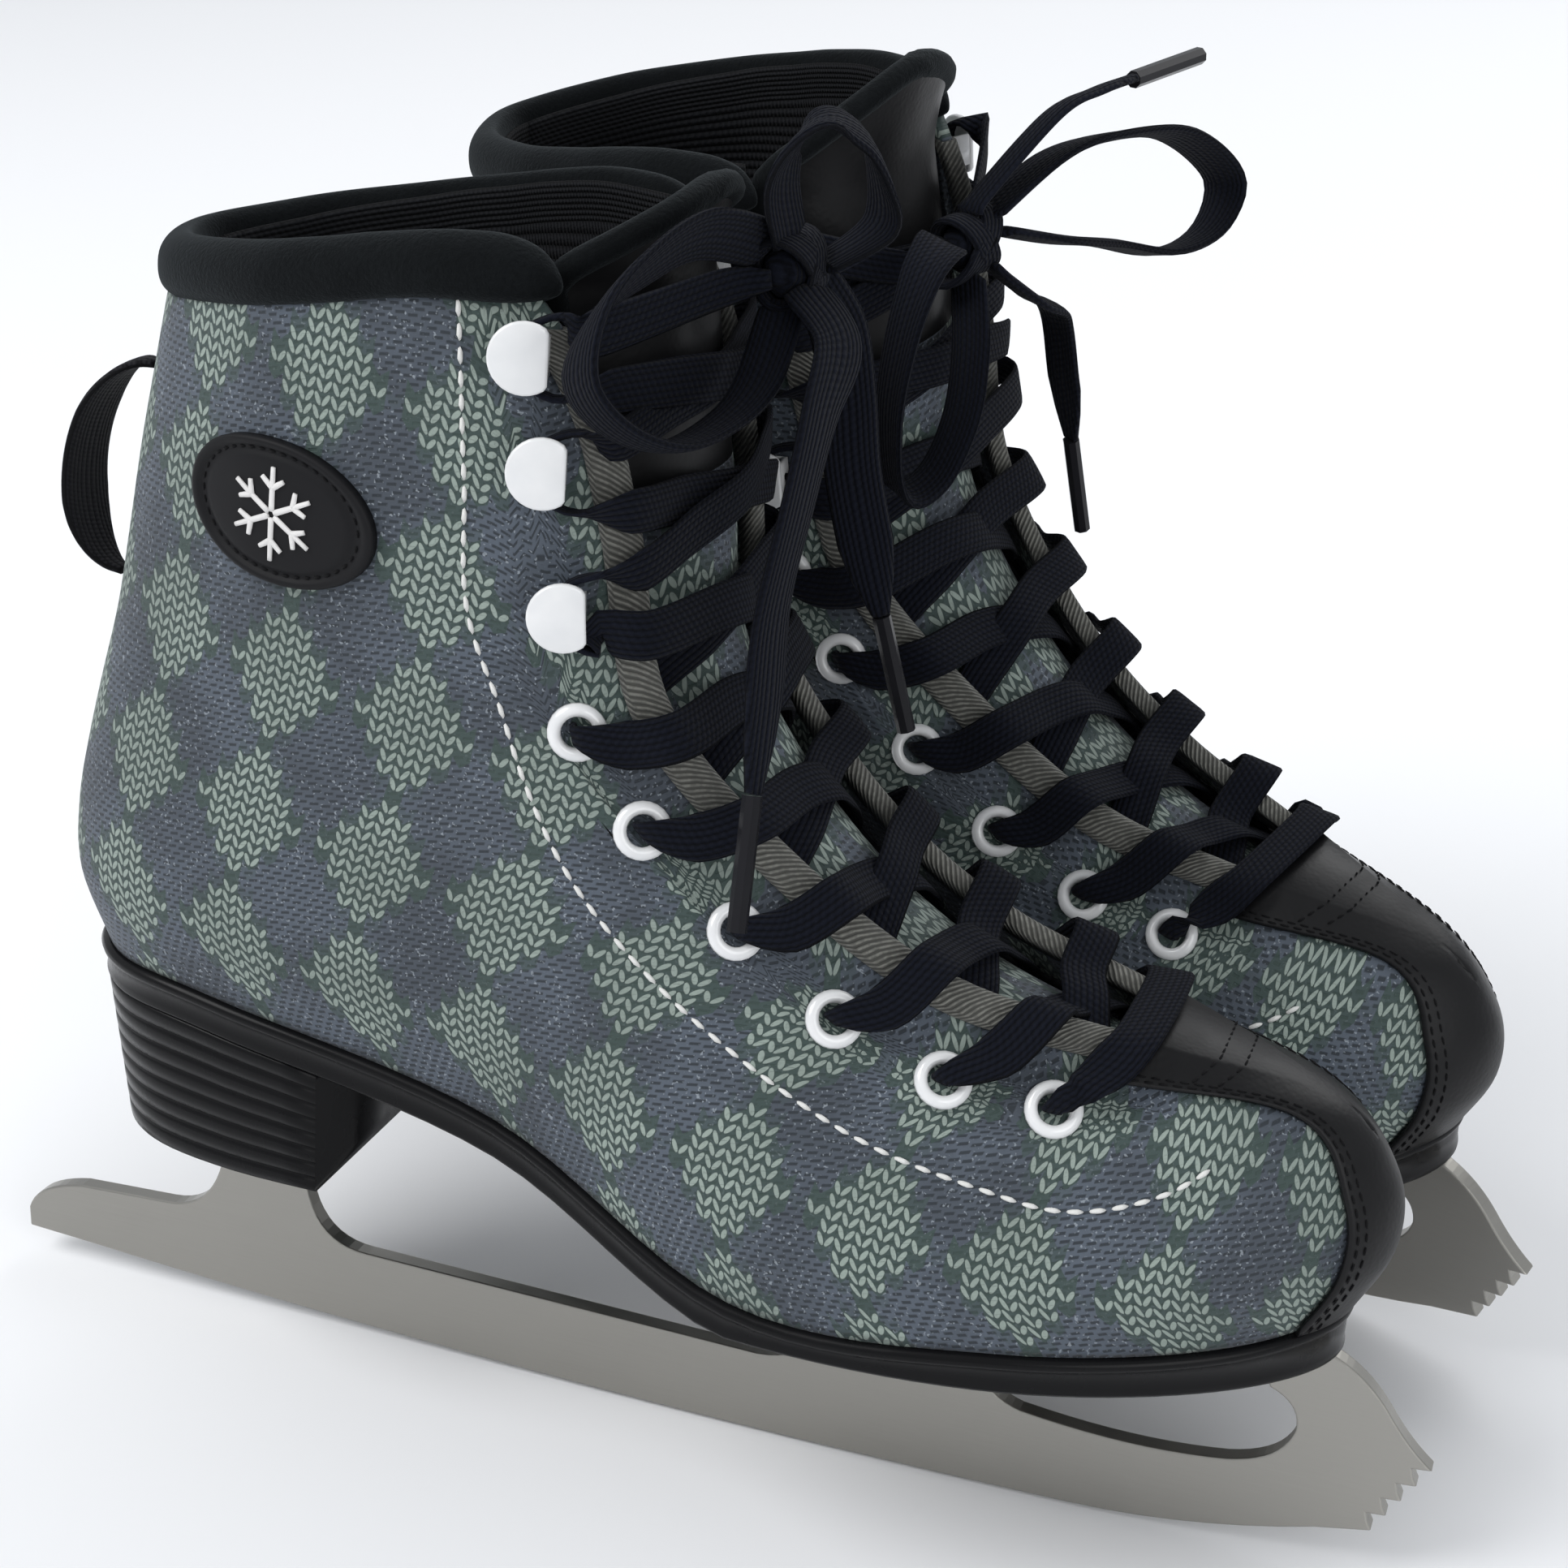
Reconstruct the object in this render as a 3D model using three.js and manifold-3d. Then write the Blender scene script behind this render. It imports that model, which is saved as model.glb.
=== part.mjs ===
// A pair of laced figure skates, standing on their blades, toes turned slightly in.
// Millimetres, +Z up, +X towards the toes. The right skate is built in its own frame:
// x runs from the blade's tail to its toe picks, -y is the outer side of the foot and
// z is height above the lowest point of the blade. The left skate is its mirror image.
import * as THREE from 'three';
import Module from 'manifold-3d';
import { mergeVertices } from 'three/addons/utils/BufferGeometryUtils.js';

const wasm = await Module();
wasm.setup();

// ---- driving dimensions ----
const clearance = 0.35;          // between pieces that lie on each other
const bladeLength = 284.5;
const bladeThickness = 3.5;
const bladeMiddle = 145;         // the blade's x that the pair is arranged about
const rockerRadius = 2145;
const rockerLowest = 158;        // x of the blade's lowest point
const runnerHeight = 17.6;       // height of the runner between its supports
const plateThickness = 2;
const soleHeight = 45;           // underside of the sole and heel above the ice
const soleThickness = 7;
const soleLip = 1;               // how far the sole stands out past the upper
const heelBreastAt = 2.4;        // where the heel block ends, along the feather line
const heelTaper = 0.91;
const upperWall = 2.2;
const liningWall = 1;
const stripWall = 1.1;
const bindingWall = 0.9;
const backStayWall = 2;
const insoleWall = 3;
const collarHeight = 9.5;
const collarDepth = 7;
const tongueWall = 4;
const tongueRise = 26;           // how far the middle of the tongue stands above the cuff
const eyeletRadius = 5;
const eyeletBore = 2.7;
const eyeletBarrel = 3.3;
const hookHeadRadius = 6.3;
const hookReach = 4.6;           // height of the hook's head above the upper
const rivetRadius = 1.5;
const stayWall = 0.6;
const laceThickness = 1.1;
const laceWidth = 4.5;           // drawn tight and folded through the eyelets
const looseLaceWidth = 10;       // lying flat in the bow
const agletLength = 22;
const agletRadius = 1.7;
const loopWidth = 15;            // the pull loop's webbing
const loopWall = 1.6;
const loopReach = 11.5;            // how far the pull loop stands off the back seam
const badgeLength = 38;
const badgeHeight = 25;
const badgeWall = 1.8;
const badgeAt = { u: 2.45, v: 6.95 };
const loopRows = [5.1, 7.6];     // where the pull loop is sewn, up the back seam
const loopEndWidth = 2;           // pinched, so that the loop can swing on its stitches
const loopGap = 0.65;
const looseLaceThickness = 1.6;
const bunchedWidth = 4;
const knotGap = 0.4;
const knotLead = 2;
const toeIn = 8.3;               // degrees, each skate
const lean = 5.2;                // degrees, tops towards each other
const halfSpacing = 54.4;        // from the middle of the pair to each skate's middle

// Eyelets from the toe up, then hooks, as heights along the front edge of the upper.
const eyeletStations = [4.0, 4.65, 5.3, 5.9, 6.5, 7.03];
const hookStations = [7.65, 8.3, 8.78];

// ---- materials ----
function finish(color, roughness, metalness) {
  return new THREE.MeshStandardMaterial({ color, roughness, metalness });
}
const steel = finish(0xb9b4ac, 0.35, 0.9);
const plateSteel = finish(0x8c8a86, 0.5, 0.8);
const rubber = finish(0x17181a, 0.35, 0);
const knit = finish(0x55656b, 0.85, 0);
const twill = finish(0x6f6d62, 0.8, 0);
const leather = finish(0x1c1c1e, 0.45, 0);
const fleece = finish(0x121518, 0.95, 0);
const board = finish(0x2a2a2a, 0.9, 0);
const webbing = finish(0x121214, 0.75, 0);
const enamel = finish(0xf2f2f2, 0.2, 0);
const cord = finish(0x14161d, 0.85, 0);
const clearPlastic = finish(0x202226, 0.2, 0);

// ---- the shape of the foot: sections of the outer side, from the feather line up to the cuff ----
// Each row runs from the back seam, round the side, to the toe's middle or the front edge.
const sections = [
  [[26, 0, 82.5], [36, -18.5, 82.8], [62, -26.8, 81.8], [118, -28.6, 70.8],
    [168, -39.8, 51.9], [214, -36.8, 52.3], [250, -20.8, 53.3], [265.8, 0, 54.9]],
  [[21.5, 0, 97], [32, -20.5, 97], [62, -30, 95.5], [120, -31.5, 84.5],
    [170, -40.5, 65.5], [216, -37.3, 64], [253.5, -22, 65.5], [271.5, 0, 67.5]],
  [[21.8, 0, 110], [33, -21, 110], [64, -31.5, 108.5], [122, -33, 97.5],
    [172, -38.2, 78], [216, -33.6, 75], [252, -19.8, 77.5], [270, 0, 79.5]],
  [[24.5, 0, 122], [36, -21.5, 122], [67, -32, 120.5], [121, -34, 109.5],
    [172, -36, 88], [213, -29.5, 83.5], [244, -15.5, 90], [259, 0, 91.5]],
  [[28, 0, 135], [40, -22, 135], [70, -32.5, 134], [116, -35, 123],
    [152, -35, 106.5], [187, -31.5, 91.5], [217, -22, 91.5], [227.5, -9.5, 101]],
  [[32, 0, 149], [44, -22, 149], [72, -33, 148], [106, -35.5, 141],
    [135, -36, 126.5], [163, -33.5, 110.5], [189, -27.5, 98.5], [197, -16.5, 109]],
  [[35.5, 0, 164], [47, -22.5, 164], [73, -34, 163.5], [98, -36.5, 160],
    [119, -36.8, 152], [140, -35.5, 138], [160.5, -31, 119.5], [171, -20.5, 126.3]],
  [[39.3, 0, 181], [50.3, -23, 181], [74, -35, 181], [94, -38, 179],
    [108, -38.3, 173.5], [122, -37, 163], [136.5, -34.5, 148], [149, -27, 152]],
  [[43, 0, 196], [54, -23.5, 196.5], [76, -36, 197.5], [93, -38.8, 197.5],
    [105, -39, 195.5], [117, -38.5, 190.5], [130, -36, 182], [143.5, -29, 182.5]],
  [[46.3, 0, 209], [57, -23.5, 210.5], [77.5, -36.5, 213.5], [93, -39.5, 216],
    [103, -39.8, 217.8], [113, -39.3, 219], [124, -36.8, 219], [136, -32, 218.5]],
].map((row) => row.map((p) => new THREE.Vector3(...p)));
const front = 7;                 // last column: the middle of the toe, or the front edge
const throat = 4;                // the row where the front edges part
const cuff = 9;                  // the top row
const step = 0.5;                // spacing of the facets along a row

// The inner side is the outer side turned over, a little narrower at the waist and fuller at the toe.
const innerWidths = [[30, 1], [110, 0.9], [185, 0.91], [217, 1.04], [240, 1.16], [256, 1.24], [272, 1.24]];
const innerShaftWidth = 0.87;
function innerWidth(x, z) {
  let share = innerWidths[innerWidths.length - 1][1];
  for (let i = innerWidths.length - 2; i >= 0; i--) {
    const [x0, w0] = innerWidths[i];
    const [x1, w1] = innerWidths[i + 1];
    if (x < x1) share = THREE.MathUtils.lerp(w0, w1, Math.max(0, (x - x0) / (x1 - x0)));
  }
  const low = THREE.MathUtils.clamp((150 - z) / 60, 0, 1);
  return THREE.MathUtils.lerp(innerShaftWidth, share, low);
}

function mirrored(p) {
  return new THREE.Vector3(p.x, -p.y, p.z);
}

function curveThrough(before, a, b, after, t) {
  const p = new THREE.Vector3();
  const t2 = t * t;
  const t3 = t2 * t;
  p.addScaledVector(before, (-t3 + 2 * t2 - t) / 2);
  p.addScaledVector(a, (3 * t3 - 5 * t2 + 2) / 2);
  p.addScaledVector(b, (-3 * t3 + 4 * t2 + t) / 2);
  return p.addScaledVector(after, (t3 - t2) / 2);
}

function alongRow(row, u, closesAtToe) {
  const i = Math.min(Math.floor(u), front - 1);
  const before = i > 0 ? row[i - 1] : mirrored(row[1]);
  const beyond = row[front].clone().multiplyScalar(2).sub(row[front - 1]);
  const after = i + 2 <= front ? row[i + 2] : (closesAtToe ? mirrored(row[front - 1]) : beyond);
  return curveThrough(before, row[i], row[i + 1], after, u - i);
}

// The facet corners of one side, side = -1 for the outer and +1 for the inner.
function cornersOf(side) {
  return sections.map((row, v) => {
    const corners = [];
    for (let u = 0; u <= front; u += step) {
      const p = alongRow(row, u, v < throat);
      if (side > 0) p.y *= -innerWidth(p.x, p.z);
      corners.push(p);
    }
    return corners;
  });
}
const corners = { [-1]: cornersOf(-1), [1]: cornersOf(1) };

// Between the corners, on the same two triangles that each facet is split into.
function between(grid, i, j) {
  const i0 = Math.min(Math.floor(i), grid.length - 2);
  const j0 = Math.min(Math.floor(j), grid[0].length - 2);
  const s = i - i0;
  const t = j - j0;
  const a = grid[i0][j0];
  const c = grid[i0 + 1][j0 + 1];
  const corner = t > s ? grid[i0][j0 + 1] : grid[i0 + 1][j0];
  const p = a.clone().addScaledVector(corner, Math.abs(t - s)).addScaledVector(a, -Math.abs(t - s));
  return p.addScaledVector(c, Math.min(s, t)).addScaledVector(a, -Math.min(s, t));
}

// The direction out of the upper at each facet corner, level across the middle of the foot.
const outwards = {};
for (const side of [-1, 1]) {
  outwards[side] = corners[side].map((row, v) => row.map((_, j) => {
    const grid = corners[side];
    const along = grid[v][Math.min(j + 1, row.length - 1)].clone().sub(grid[v][Math.max(j - 1, 0)]);
    const up = grid[Math.min(v + 1, cuff)][j].clone().sub(grid[Math.max(v - 1, 0)][j]);
    const onSeam = j === 0 || (j === row.length - 1 && v < throat);
    if (onSeam) along.set(0, j === 0 ? side : -side, 0);
    if (onSeam) up.y = 0;
    return along.cross(up).multiplyScalar(-side).normalize();
  }));
}

// A point of the upper's outer face, or at a height off it: u along the row, v up the foot.
function skin(side, u, v, height = 0) {
  const j = u / step;
  const p = between(corners[side], v, j);
  return p.addScaledVector(between(outwards[side], v, j).normalize(), height);
}

// ---- solids ----
function asGeometry(points, triangles) {
  const geometry = new THREE.BufferGeometry();
  const flat = points.flatMap((p) => [p.x, p.y, p.z]);
  geometry.setAttribute('position', new THREE.Float32BufferAttribute(flat, 3));
  let volume = 0;
  for (const [a, b, c] of triangles) volume += points[a].dot(points[b].clone().cross(points[c]));
  const outward = volume > 0 ? triangles : triangles.map(([a, b, c]) => [a, c, b]);
  geometry.setIndex(outward.flat());
  return geometry;
}

// A closed body through rings of points, its two end rings filled.
function loft(rings) {
  const count = rings[0].length;
  const triangles = [];
  for (let i = 0; i + 1 < rings.length; i++) {
    for (let j = 0; j < count; j++) {
      const a = i * count + j;
      const b = i * count + (j + 1) % count;
      triangles.push([a, b, b + count], [a, b + count, a + count]);
    }
  }
  const last = (rings.length - 1) * count;
  for (let j = 1; j + 1 < count; j++) {
    triangles.push([0, j + 1, j], [last, last + j, last + j + 1]);
  }
  return asGeometry(rings.flat(), triangles);
}

// A wall between two faces given as grids of points. Each facet is split from its first corner to its
// third; in the columns that `turned` names it is split the other way.
function wall(outer, inner, turned = []) {
  const rows = outer.length;
  const columns = outer[0].length;
  const at = (layer, i, j) => layer * rows * columns + i * columns + j;
  const triangles = [];
  const quad = (a, b, c, d) => triangles.push([a, b, c], [a, c, d]);
  for (let i = 0; i + 1 < rows; i++) {
    for (let j = 0; j + 1 < columns; j++) {
      if (turned[j]) {
        quad(at(0, i, j + 1), at(0, i + 1, j + 1), at(0, i + 1, j), at(0, i, j));
        quad(at(1, i, j + 1), at(1, i, j), at(1, i + 1, j), at(1, i + 1, j + 1));
      } else {
        quad(at(0, i, j), at(0, i, j + 1), at(0, i + 1, j + 1), at(0, i + 1, j));
        quad(at(1, i, j), at(1, i + 1, j), at(1, i + 1, j + 1), at(1, i, j + 1));
      }
    }
  }
  for (let i = 0; i + 1 < rows; i++) {
    quad(at(0, i + 1, 0), at(1, i + 1, 0), at(1, i, 0), at(0, i, 0));
    const e = columns - 1;
    quad(at(0, i, e), at(1, i, e), at(1, i + 1, e), at(0, i + 1, e));
  }
  for (let j = 0; j + 1 < columns; j++) {
    quad(at(0, 0, j), at(1, 0, j), at(1, 0, j + 1), at(0, 0, j + 1));
    const e = rows - 1;
    quad(at(0, e, j + 1), at(1, e, j + 1), at(1, e, j), at(0, e, j));
  }
  return asGeometry([...outer.flat(), ...inner.flat()], triangles);
}

function steps(from, to, size) {
  const count = Math.round((to - from) / size);
  return Array.from({ length: count + 1 }, (_, i) => from + (to - from) * i / Math.max(count, 1));
}

// A sheet that lies on the upper: heights are its outer and inner face's heights off the upper.
// Signed columns run from the inner side (negative) round the seam to the outer side (positive).
function patch(rows, columns, outerHeight, innerHeight) {
  const face = (height) => rows.map((v) => columns.map(([side, u]) => skin(side, u, v, height)));
  const turned = columns.slice(1).map(([, u], i) => u < columns[i][1]);
  return wall(face(outerHeight), face(innerHeight), turned);
}

function toManifold(geometry) {
  const bare = geometry.clone();
  bare.deleteAttribute('normal');
  bare.deleteAttribute('uv');
  const merged = mergeVertices(bare, 1e-4);
  const index = merged.index.array;
  return new wasm.Manifold(new wasm.Mesh({
    numProp: 3,
    vertProperties: new Float32Array(merged.attributes.position.array),
    triVerts: new Uint32Array(index),
  }));
}

function fromManifold(solid) {
  const mesh = solid.getMesh();
  const geometry = new THREE.BufferGeometry();
  geometry.setAttribute('position', new THREE.BufferAttribute(new Float32Array(mesh.vertProperties), 3));
  geometry.setIndex(new THREE.BufferAttribute(new Uint32Array(mesh.triVerts), 1));
  return geometry;
}

// Turns a geometry so that its +Z looks along `out` and its +X lies towards `towards`, then places it.
function stand(geometry, at, out, towards = new THREE.Vector3(1, 0, 0)) {
  const z = out.clone().normalize();
  const y = z.clone().cross(towards).normalize();
  const x = y.clone().cross(z);
  return geometry.clone().applyMatrix4(new THREE.Matrix4().makeBasis(x, y, z).setPosition(at));
}

function drum(radius, low, high, sides = 12) {
  const geometry = new THREE.CylinderGeometry(radius, radius, high - low, sides);
  return geometry.rotateX(Math.PI / 2).translate(0, 0, (low + high) / 2);
}

function slab(x0, x1, y0, y1, z0, z1) {
  const geometry = new THREE.BoxGeometry(x1 - x0, y1 - y0, z1 - z0);
  return geometry.translate((x0 + x1) / 2, (y0 + y1) / 2, (z0 + z1) / 2);
}

// A flat band along a path. Each stop is [centre, across, width]; thickness is square to both.
function band(stops, thickness) {
  const rings = stops.map(([centre, across, width], i) => {
    const next = stops[Math.min(i + 1, stops.length - 1)][0];
    const before = stops[Math.max(i - 1, 0)][0];
    const along = next.clone().sub(before).normalize();
    const wide = across.clone().addScaledVector(along, -across.dot(along)).normalize();
    const thick = along.clone().cross(wide).multiplyScalar(thickness / 2);
    wide.multiplyScalar(width / 2);
    return [[1, 1], [-1, 1], [-1, -1], [1, -1]].map(([w, t]) => centre.clone()
      .addScaledVector(wide, w).addScaledVector(thick, t));
  });
  return loft(rings);
}

// ---- blade and plates ----
function rocker(x) {
  const rise = Math.max(0, x - 222);
  return (x - rockerLowest) ** 2 / (2 * rockerRadius) + 0.003 * rise * rise;
}

function bladeGeometry() {
  const top = soleHeight - 0.4 - clearance;
  const outline = new THREE.Shape();
  outline.moveTo(0, 5.6);
  for (const x of steps(14, 266, 21)) outline.lineTo(x, rocker(x));
  const pick = new THREE.Vector2(bladeLength - 8.8, 10.6);
  for (let i = 0; i < 4; i++) {
    outline.lineTo(pick.x, pick.y);
    outline.lineTo(pick.x - 1.3, pick.y + 3.4);
    pick.add(new THREE.Vector2(2.2, 3.7));
  }
  outline.lineTo(bladeLength, 25.5);
  outline.quadraticCurveTo(280, 29, 276, 35);
  outline.quadraticCurveTo(271.5, 41.5, 265, top);
  outline.lineTo(255, top);
  outline.lineTo(255, 35);
  outline.quadraticCurveTo(260.8, 33, 260.5, 27.5);
  outline.quadraticCurveTo(259, 20.5, 249, 18.3);
  outline.quadraticCurveTo(232, 15.4, 211, 18);
  outline.quadraticCurveTo(203, 20, 203, 28);
  outline.lineTo(203, top);
  outline.lineTo(172, top);
  outline.lineTo(172, 28);
  outline.quadraticCurveTo(171.5, 17.5, 160, 16.7);
  outline.lineTo(78, runnerHeight + 0.3);
  outline.quadraticCurveTo(67, 18, 65, 30);
  outline.lineTo(65, top);
  outline.lineTo(46, top);
  outline.lineTo(46, 31);
  outline.quadraticCurveTo(43, 19.5, 33, 19);
  outline.lineTo(13, 18);
  outline.quadraticCurveTo(2, 16, 0, 10);
  const geometry = new THREE.ExtrudeGeometry(outline, {
    depth: bladeThickness, bevelEnabled: false, curveSegments: 4,
  });
  return geometry.translate(0, 0, -bladeThickness / 2).rotateX(Math.PI / 2);
}

function plateGeometry(x0, x1, halfWidth, grow = 0) {
  const low = soleHeight - 0.4 - grow * 4;
  const radius = halfWidth + grow;
  const outline = new THREE.Shape();
  outline.absarc(x1 - halfWidth, 0, radius, -Math.PI / 2, Math.PI / 2);
  outline.absarc(x0 + halfWidth, 0, radius, Math.PI / 2, Math.PI * 1.5);
  const geometry = new THREE.ExtrudeGeometry(outline, {
    depth: plateThickness + grow * 5, bevelEnabled: false, curveSegments: 5,
  });
  return geometry.translate(0, 0, low);
}
const toePlate = [165, 262, 13];
const heelPlate = [36, 75, 11];

// ---- sole, heel and insole ----
const featherHeight = (u) => between(corners[-1], 0, u / step).z - clearance;

function soleRing(u, inset, high, low) {
  const outer = skin(-1, u, 0);
  const inner = skin(1, u, 0);
  const end = u === 0 ? -1 : (u === front ? 1 : 0);
  const x = outer.x - end * inset;
  const least = 4;
  const yOuter = Math.min(outer.y + inset, -least);
  const yInner = Math.max(inner.y - inset, least);
  return [[yOuter, high], [yInner, high], [yInner, low], [yOuter, low]]
    .map(([y, z]) => new THREE.Vector3(x, y, z));
}

function soleUnderside(u) {
  const thin = featherHeight(u) - soleThickness;
  return u >= 4 ? soleHeight : Math.max(soleHeight, thin);
}

function outsoleGeometry() {
  const rings = steps(0, front, step).map((u) => soleRing(u, -soleLip, featherHeight(u), soleUnderside(u)));
  const pocket = toManifold(plateGeometry(...toePlate, clearance));
  return fromManifold(toManifold(loft(rings)).subtract(pocket));
}

function heelGeometry() {
  const middle = 58;
  const stations = [...steps(0, 2, step), heelBreastAt];
  const rings = stations.map((u) => {
    const ring = soleRing(u, -soleLip, soleUnderside(u) - clearance, soleHeight);
    for (const p of ring.slice(2)) {
      p.x = middle + (p.x - middle) * heelTaper;
      p.y *= heelTaper;
    }
    return ring;
  });
  const pocket = toManifold(plateGeometry(...heelPlate, clearance));
  return fromManifold(toManifold(loft(rings)).subtract(pocket));
}

function insoleGeometry() {
  const inset = upperWall + liningWall + 3 * clearance + 1.5;
  const rings = steps(1, 6, step).map((u) => {
    const low = featherHeight(u) + clearance;
    return soleRing(u, inset, low + insoleWall, low);
  });
  return loft(rings);
}

// ---- upper ----
function eyeletPlace(side, v) {
  const at = skin(side, 6, v);
  const out = between(outwards[side], v, 6 / step).normalize();
  const towards = skin(side, 6.6, v).sub(at);
  return { at, out, towards };
}

function upperGeometry(side) {
  const columns = steps(0, front, step).map((u) => [side, u]);
  const rows = steps(0, cuff, 1);
  const geometry = patch(rows, columns, 0, -upperWall);
  const position = geometry.attributes.position;
  const seamGap = clearance / 2;
  for (let i = 0; i < position.count; i++) {
    position.setY(i, side * Math.max(seamGap, side * position.getY(i)));
  }
  let solid = toManifold(geometry);
  const drill = (v, radius) => {
    const { at, out } = eyeletPlace(side, v);
    solid = solid.subtract(toManifold(stand(drum(radius, -upperWall - 2, 2, 8), at, out)));
  };
  eyeletStations.forEach((v) => drill(v, eyeletBarrel + clearance));
  hookStations.forEach((v) => drill(v, rivetRadius + clearance));
  return fromManifold(solid);
}

function bothSides(limit) {
  const inner = steps(step, limit, step).reverse().map((u) => [1, u]);
  return [...inner, [-1, 0], ...steps(step, limit, step).map((u) => [-1, u])];
}

function liningGeometry() {
  const high = -upperWall - 2 * clearance;
  const rows = [1, 2, 3, 4, 5, 6, 7, 8, 9];
  return patch(rows, bothSides(4.5), high, high - liningWall);
}

function toeStripGeometry() {
  const rows = [0.1, 1, 2, 3, throat - 0.1];
  const columns = [[1, 6.5], [1, front], [-1, front], [-1, 6.5]];
  const face = (height) => rows.map((v) => columns.map(([side, u]) => {
    const p = skin(side, u, v, height);
    return p.setY(side * Math.max(1, side * p.y));
  }));
  const rest = 2 * clearance;
  return wall(face(rest + stripWall), face(rest), [false, false, true]);
}

function bindingGeometry(side) {
  const columns = [[side, 6.5], [side, 7]];
  return patch(steps(throat, cuff, 1), columns, clearance + bindingWall, clearance);
}

function backStayGeometry() {
  const columns = [[1, 0.12], [-1, 0], [-1, 0.12]];
  return patch([0.2, ...steps(1, cuff, 1)], columns, clearance + backStayWall, clearance);
}

function stayGeometry(side, from, to) {
  const high = -upperWall - clearance;
  return patch([from, ...steps(Math.ceil(from + 0.01), Math.floor(to - 0.01), 1), to],
    [[side, 5.5], [side, 6], [side, 6.5]], high, high - stayWall);
}

function eyeletsGeometry(side) {
  let solid = toManifold(stayGeometry(side, throat + 0.01, 7.3));
  const low = -upperWall - clearance - stayWall;
  const high = clearance + 0.5;
  const profile = [[eyeletBore, low], [eyeletBarrel, low], [eyeletBarrel, high], [eyeletRadius, high],
    [eyeletRadius - 0.6, high + 1], [eyeletBore, high + 1], [eyeletBore, low]];
  const ring = new THREE.LatheGeometry(profile.map(([r, z]) => new THREE.Vector2(r, z)), 8).rotateX(Math.PI / 2);
  const places = eyeletStations.map((v) => eyeletPlace(side, v));
  for (const { at, out } of places) {
    solid = solid.subtract(toManifold(stand(drum(eyeletBore + 0.3, low - 2, 0, 8), at, out)));
    solid = solid.add(toManifold(stand(ring, at, out)));
  }
  return fromManifold(solid);
}

function hooksGeometry(side) {
  let solid = toManifold(stayGeometry(side, 7.4, cuff - 0.05));
  for (const v of hookStations) {
    const { at, out, towards } = eyeletPlace(side, v);
    const low = -upperWall - clearance - stayWall / 2;
    const base = clearance + 0.15;
    const pieces = [
      drum(rivetRadius, low, base + 0.5, 8),
      slab(-3.5, 5, -3, 3, base, base + 0.8),
      slab(3.8, 5, -3, 3, base, hookReach + 1),
    ];
    const head = toManifold(drum(hookHeadRadius, hookReach, hookReach + 1.2, 16));
    const flatEdge = head.subtract(toManifold(slab(5, 10, -8, 8, hookReach - 1, hookReach + 3)));
    let hook = flatEdge;
    for (const piece of pieces) hook = hook.add(toManifold(piece));
    solid = solid.add(toManifold(stand(fromManifold(hook), at, out, towards)));
  }
  return fromManifold(solid);
}

function collarGeometry() {
  const profile = [[0.6, clearance], [1.6, 4], [0.2, collarHeight - 1], [-3, collarHeight],
    [-collarDepth, collarHeight - 2], [-collarDepth, clearance]];
  const rings = bothSides(6).map(([side, u]) => {
    const at = skin(side, u, cuff);
    const out = between(outwards[side], cuff, u / step);
    out.z = 0;
    out.normalize();
    return profile.map(([depth, height]) => at.clone().addScaledVector(out, depth)
      .add(new THREE.Vector3(0, 0, height)));
  });
  return loft(rings);
}

// ---- tongue ----
const laceRoom = laceThickness + 5 * clearance;
const tongueDepth = upperWall + stayWall + clearance + laceRoom;

// Across the front opening: s runs from -1 at the outer flap to +1 at the inner flap.
function acrossTongue(v, s, height) {
  const root = (side) => skin(side, 6.5, v, -tongueDepth);
  const pull = (side) => skin(side, 7, v, -tongueDepth).sub(root(side)).normalize();
  const a = root(-1);
  const d = root(1);
  const reach = a.distanceTo(d) * 0.4;
  const b = a.clone().addScaledVector(pull(-1), reach);
  const c = d.clone().addScaledVector(pull(1), reach);
  const curve = new THREE.CubicBezierCurve3(a, b, c, d);
  const t = (s + 1) / 2;
  const upward = skin(-1, 6.5, Math.min(v + 0.5, cuff)).sub(skin(-1, 6.5, Math.max(v - 0.5, throat)));
  upward.y = 0;
  const out = curve.getTangent(t).cross(upward).normalize();
  return curve.getPoint(t).addScaledVector(out, height);
}

function tongueGeometry() {
  const columns = steps(-1, 1, 0.2);
  const top = (height, share) => columns.map((s) => {
    const rise = tongueRise * (1 - 0.7 * s * s) * share;
    return acrossTongue(cuff, s, height).add(new THREE.Vector3(rise * 0.12, 0, rise));
  });
  const face = (height) => [
    ...steps(throat, cuff, 1).map((v) => columns.map((s) => acrossTongue(v, s, height))),
    top(height, 0.5),
    top(height, 1),
  ];
  return wall(face(0), face(-tongueWall));
}

// ---- laces ----
function holeStops(side, v, upwards) {
  const { at, out } = eyeletPlace(side, v);
  const acrossHole = skin(side, 6, v + 0.1).sub(skin(side, 6, v - 0.1)).normalize();
  const narrow = 2 * eyeletBore - 2.2;
  const heights = [-tongueDepth + laceThickness / 2 + clearance, -upperWall / 2, clearance + 3];
  const stops = heights.map((h) => [at.clone().addScaledVector(out, h), acrossHole, narrow]);
  return upwards ? stops : stops.reverse();
}

const overFlap = bindingWall + laceThickness / 2 + 5.5 * clearance;
const onTongue = laceThickness / 2 + 3 * clearance;

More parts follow.
